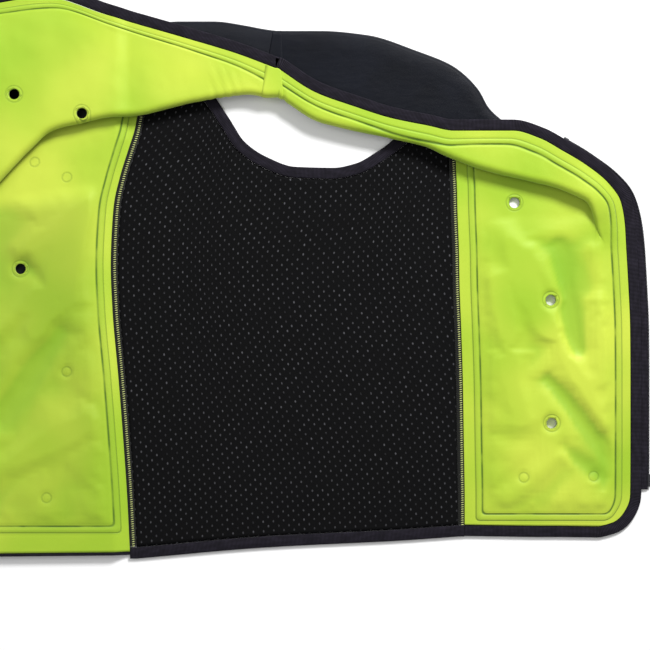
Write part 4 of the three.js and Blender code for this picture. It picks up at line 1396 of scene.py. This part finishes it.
def addZipper(side, grid, samples, rows, normal, turn, centre, most):
    z = zipper
    edge = columnEdge(grid, samples, -1, rows[0], rows[1], normal)
    top = np.argmax(grid[:, -1, 1])
    start = float(np.interp(edge[0][0, 1] + z["coilStart"], grid[:top, -1, 1], samples[:top]))
    coilEdge = tucked(columnEdge(grid, samples, -1, start, rows[1], normal), turn, most)
    half, core = z["tapeThickness"] / 2, z["core"] / 2
    tapeSize = (tapeInner, tapeInner + z["tapeWidth"] + z["tapeUnder"][1], centre - half, centre + half)
    tapeEdge = tucked(edge, turn, most)
    tape = edgeStrip(side + "ZipperTapeBand", tapeEdge, tapeSize, turn, z["spacing"], z["tapeRoundness"])
    finishPiece(tape, ribbed, side + "_zipper_tape")
    coil = beadsAlong(side + "ZipperCoil", shifted(coilEdge, turn, coilMiddle, centre), z["coil"], plastic)
    finishPiece(coil, plastic, side + "_zipper_coil")
    coreSize = (coilMiddle - core, coilMiddle + core, centre - core, centre + core)
    cord = edgeStrip(side + "ZipperCore", coilEdge, coreSize, turn, z["spacing"], z["coreRoundness"])
    finishPiece(cord, ribbed, None)


def addTopStop(c, centre):
    row = seamRows["zipper"][1]
    edge = columnEdge(leftGrid, leftSamples, -1, row, row + c["rows"], upright)
    points, normals, _ = resample(edge[0], edge[1], 1.0)
    points = points - zipper["tuck"] * outward(points, normals, 1) - zipper["tuckDrop"] * normals
    across, high = c["half"], c["halfHeight"]
    size = (coilMiddle - across, coilMiddle + across, centre - high, centre + high)
    stop = edgeStrip("zipperTopStop", (points, normals), size, 1, c["spacing"], c["roundness"])
    finishPiece(stop, plastic, "zipper_top_stop")


addTopStop(zipper["stop"], leftCentre)
addZipper("left", leftGrid, leftSamples, seamRows["zipper"], upright, 1, leftCentre, 1.0)
addZipper("right", rightGrid, rightSamples, seamRows["rightZipper"], facingDown, -1, rightCentre, 0.0)
for name in ("zipper_pin", "zipper_slider"):
    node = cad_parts[name]
    node.data.materials.clear()
    node.data.materials.append(plastic)
print("zipper made")


# What each soft piece is. A flat size is width and length in metres, as cut, and area what its curved
# outline leaves.
sheets = [
    (backShell, (0.452, 0.540), "folded", 0.190, ["rightFrontShellCloth"]),
    (leftShell, (0.170, 0.760), "folded", 0.090, ["floor"]),
    (rightShell, (0.158, 0.507), "laid", 0.077, ["rightFrontPanelPadded"]),
    (leftMesh, (0.303, 0.438), "laid", 0.117, ["floor"]),
    (rightMesh, (0.303, 0.438), "folded", 0.114, ["floor"]),
]

floorSettings = {
    "size": 6.0, "level": -0.0002, "colour": (0.92, 0.92, 0.92, 1), "darker": 0.985,
    "patches": 3.0, "roughness": 0.9, "specular": 0.1,
}


def addFloor(f):
    half = f["size"] / 2
    corners = [(x * half, y * half, f["level"]) for x, y in ((-1, -1), (1, -1), (1, 1), (-1, 1))]
    mesh = bpy.data.meshes.new("floor")
    mesh.from_pydata(corners, [], [(0, 1, 2, 3)])
    n = Nodes("paleFloor", f)
    darker = tuple(c * f["darker"] for c in f["colour"][:3]) + (1,)
    n.colour(n.mix(n.noise(n.place(), f["patches"], 2.0), f["colour"], darker))
    mesh.materials.append(n.material)
    addObject("floor", mesh)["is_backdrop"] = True


addFloor(floorSettings)
for piece, flat, held, cut, rests in sheets:
    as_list(rests)

lights = {
    "world": 0.46,
    "key": {"place": (0.85, 1.45, 1.25), "size": 0.6, "power": 60.0},
    "fill": {"place": (-1.4, 0.6, 1.9), "size": 1.2, "power": 10.0},
}


def addLight(name, s):
    data = bpy.data.lights.new(name, "AREA")
    data.shape, data.size, data.energy = "DISK", s["size"], s["power"]
    obj = addObject(name, data)
    obj.location = s["place"]
    obj.rotation_euler = (-Vector(s["place"])).to_track_quat("-Z", "Y").to_euler()


for lightName in ("key", "fill"):
    addLight(lightName, lights[lightName])
world = bpy.data.worlds.new("studio")
world.use_nodes = True
world.node_tree.nodes["Background"].inputs["Color"].default_value = (1, 1, 1, 1)
world.node_tree.nodes["Background"].inputs["Strength"].default_value = lights["world"]
bpy.context.scene.world = world
bpy.context.scene.view_settings.view_transform = "Standard"

modelLow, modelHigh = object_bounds()
for label, low, high in (("cad", cadLow, cadHigh), ("model", modelLow, modelHigh)):
    print("size", label, [round(float(b - a), 4) for a, b in zip(low, high)])
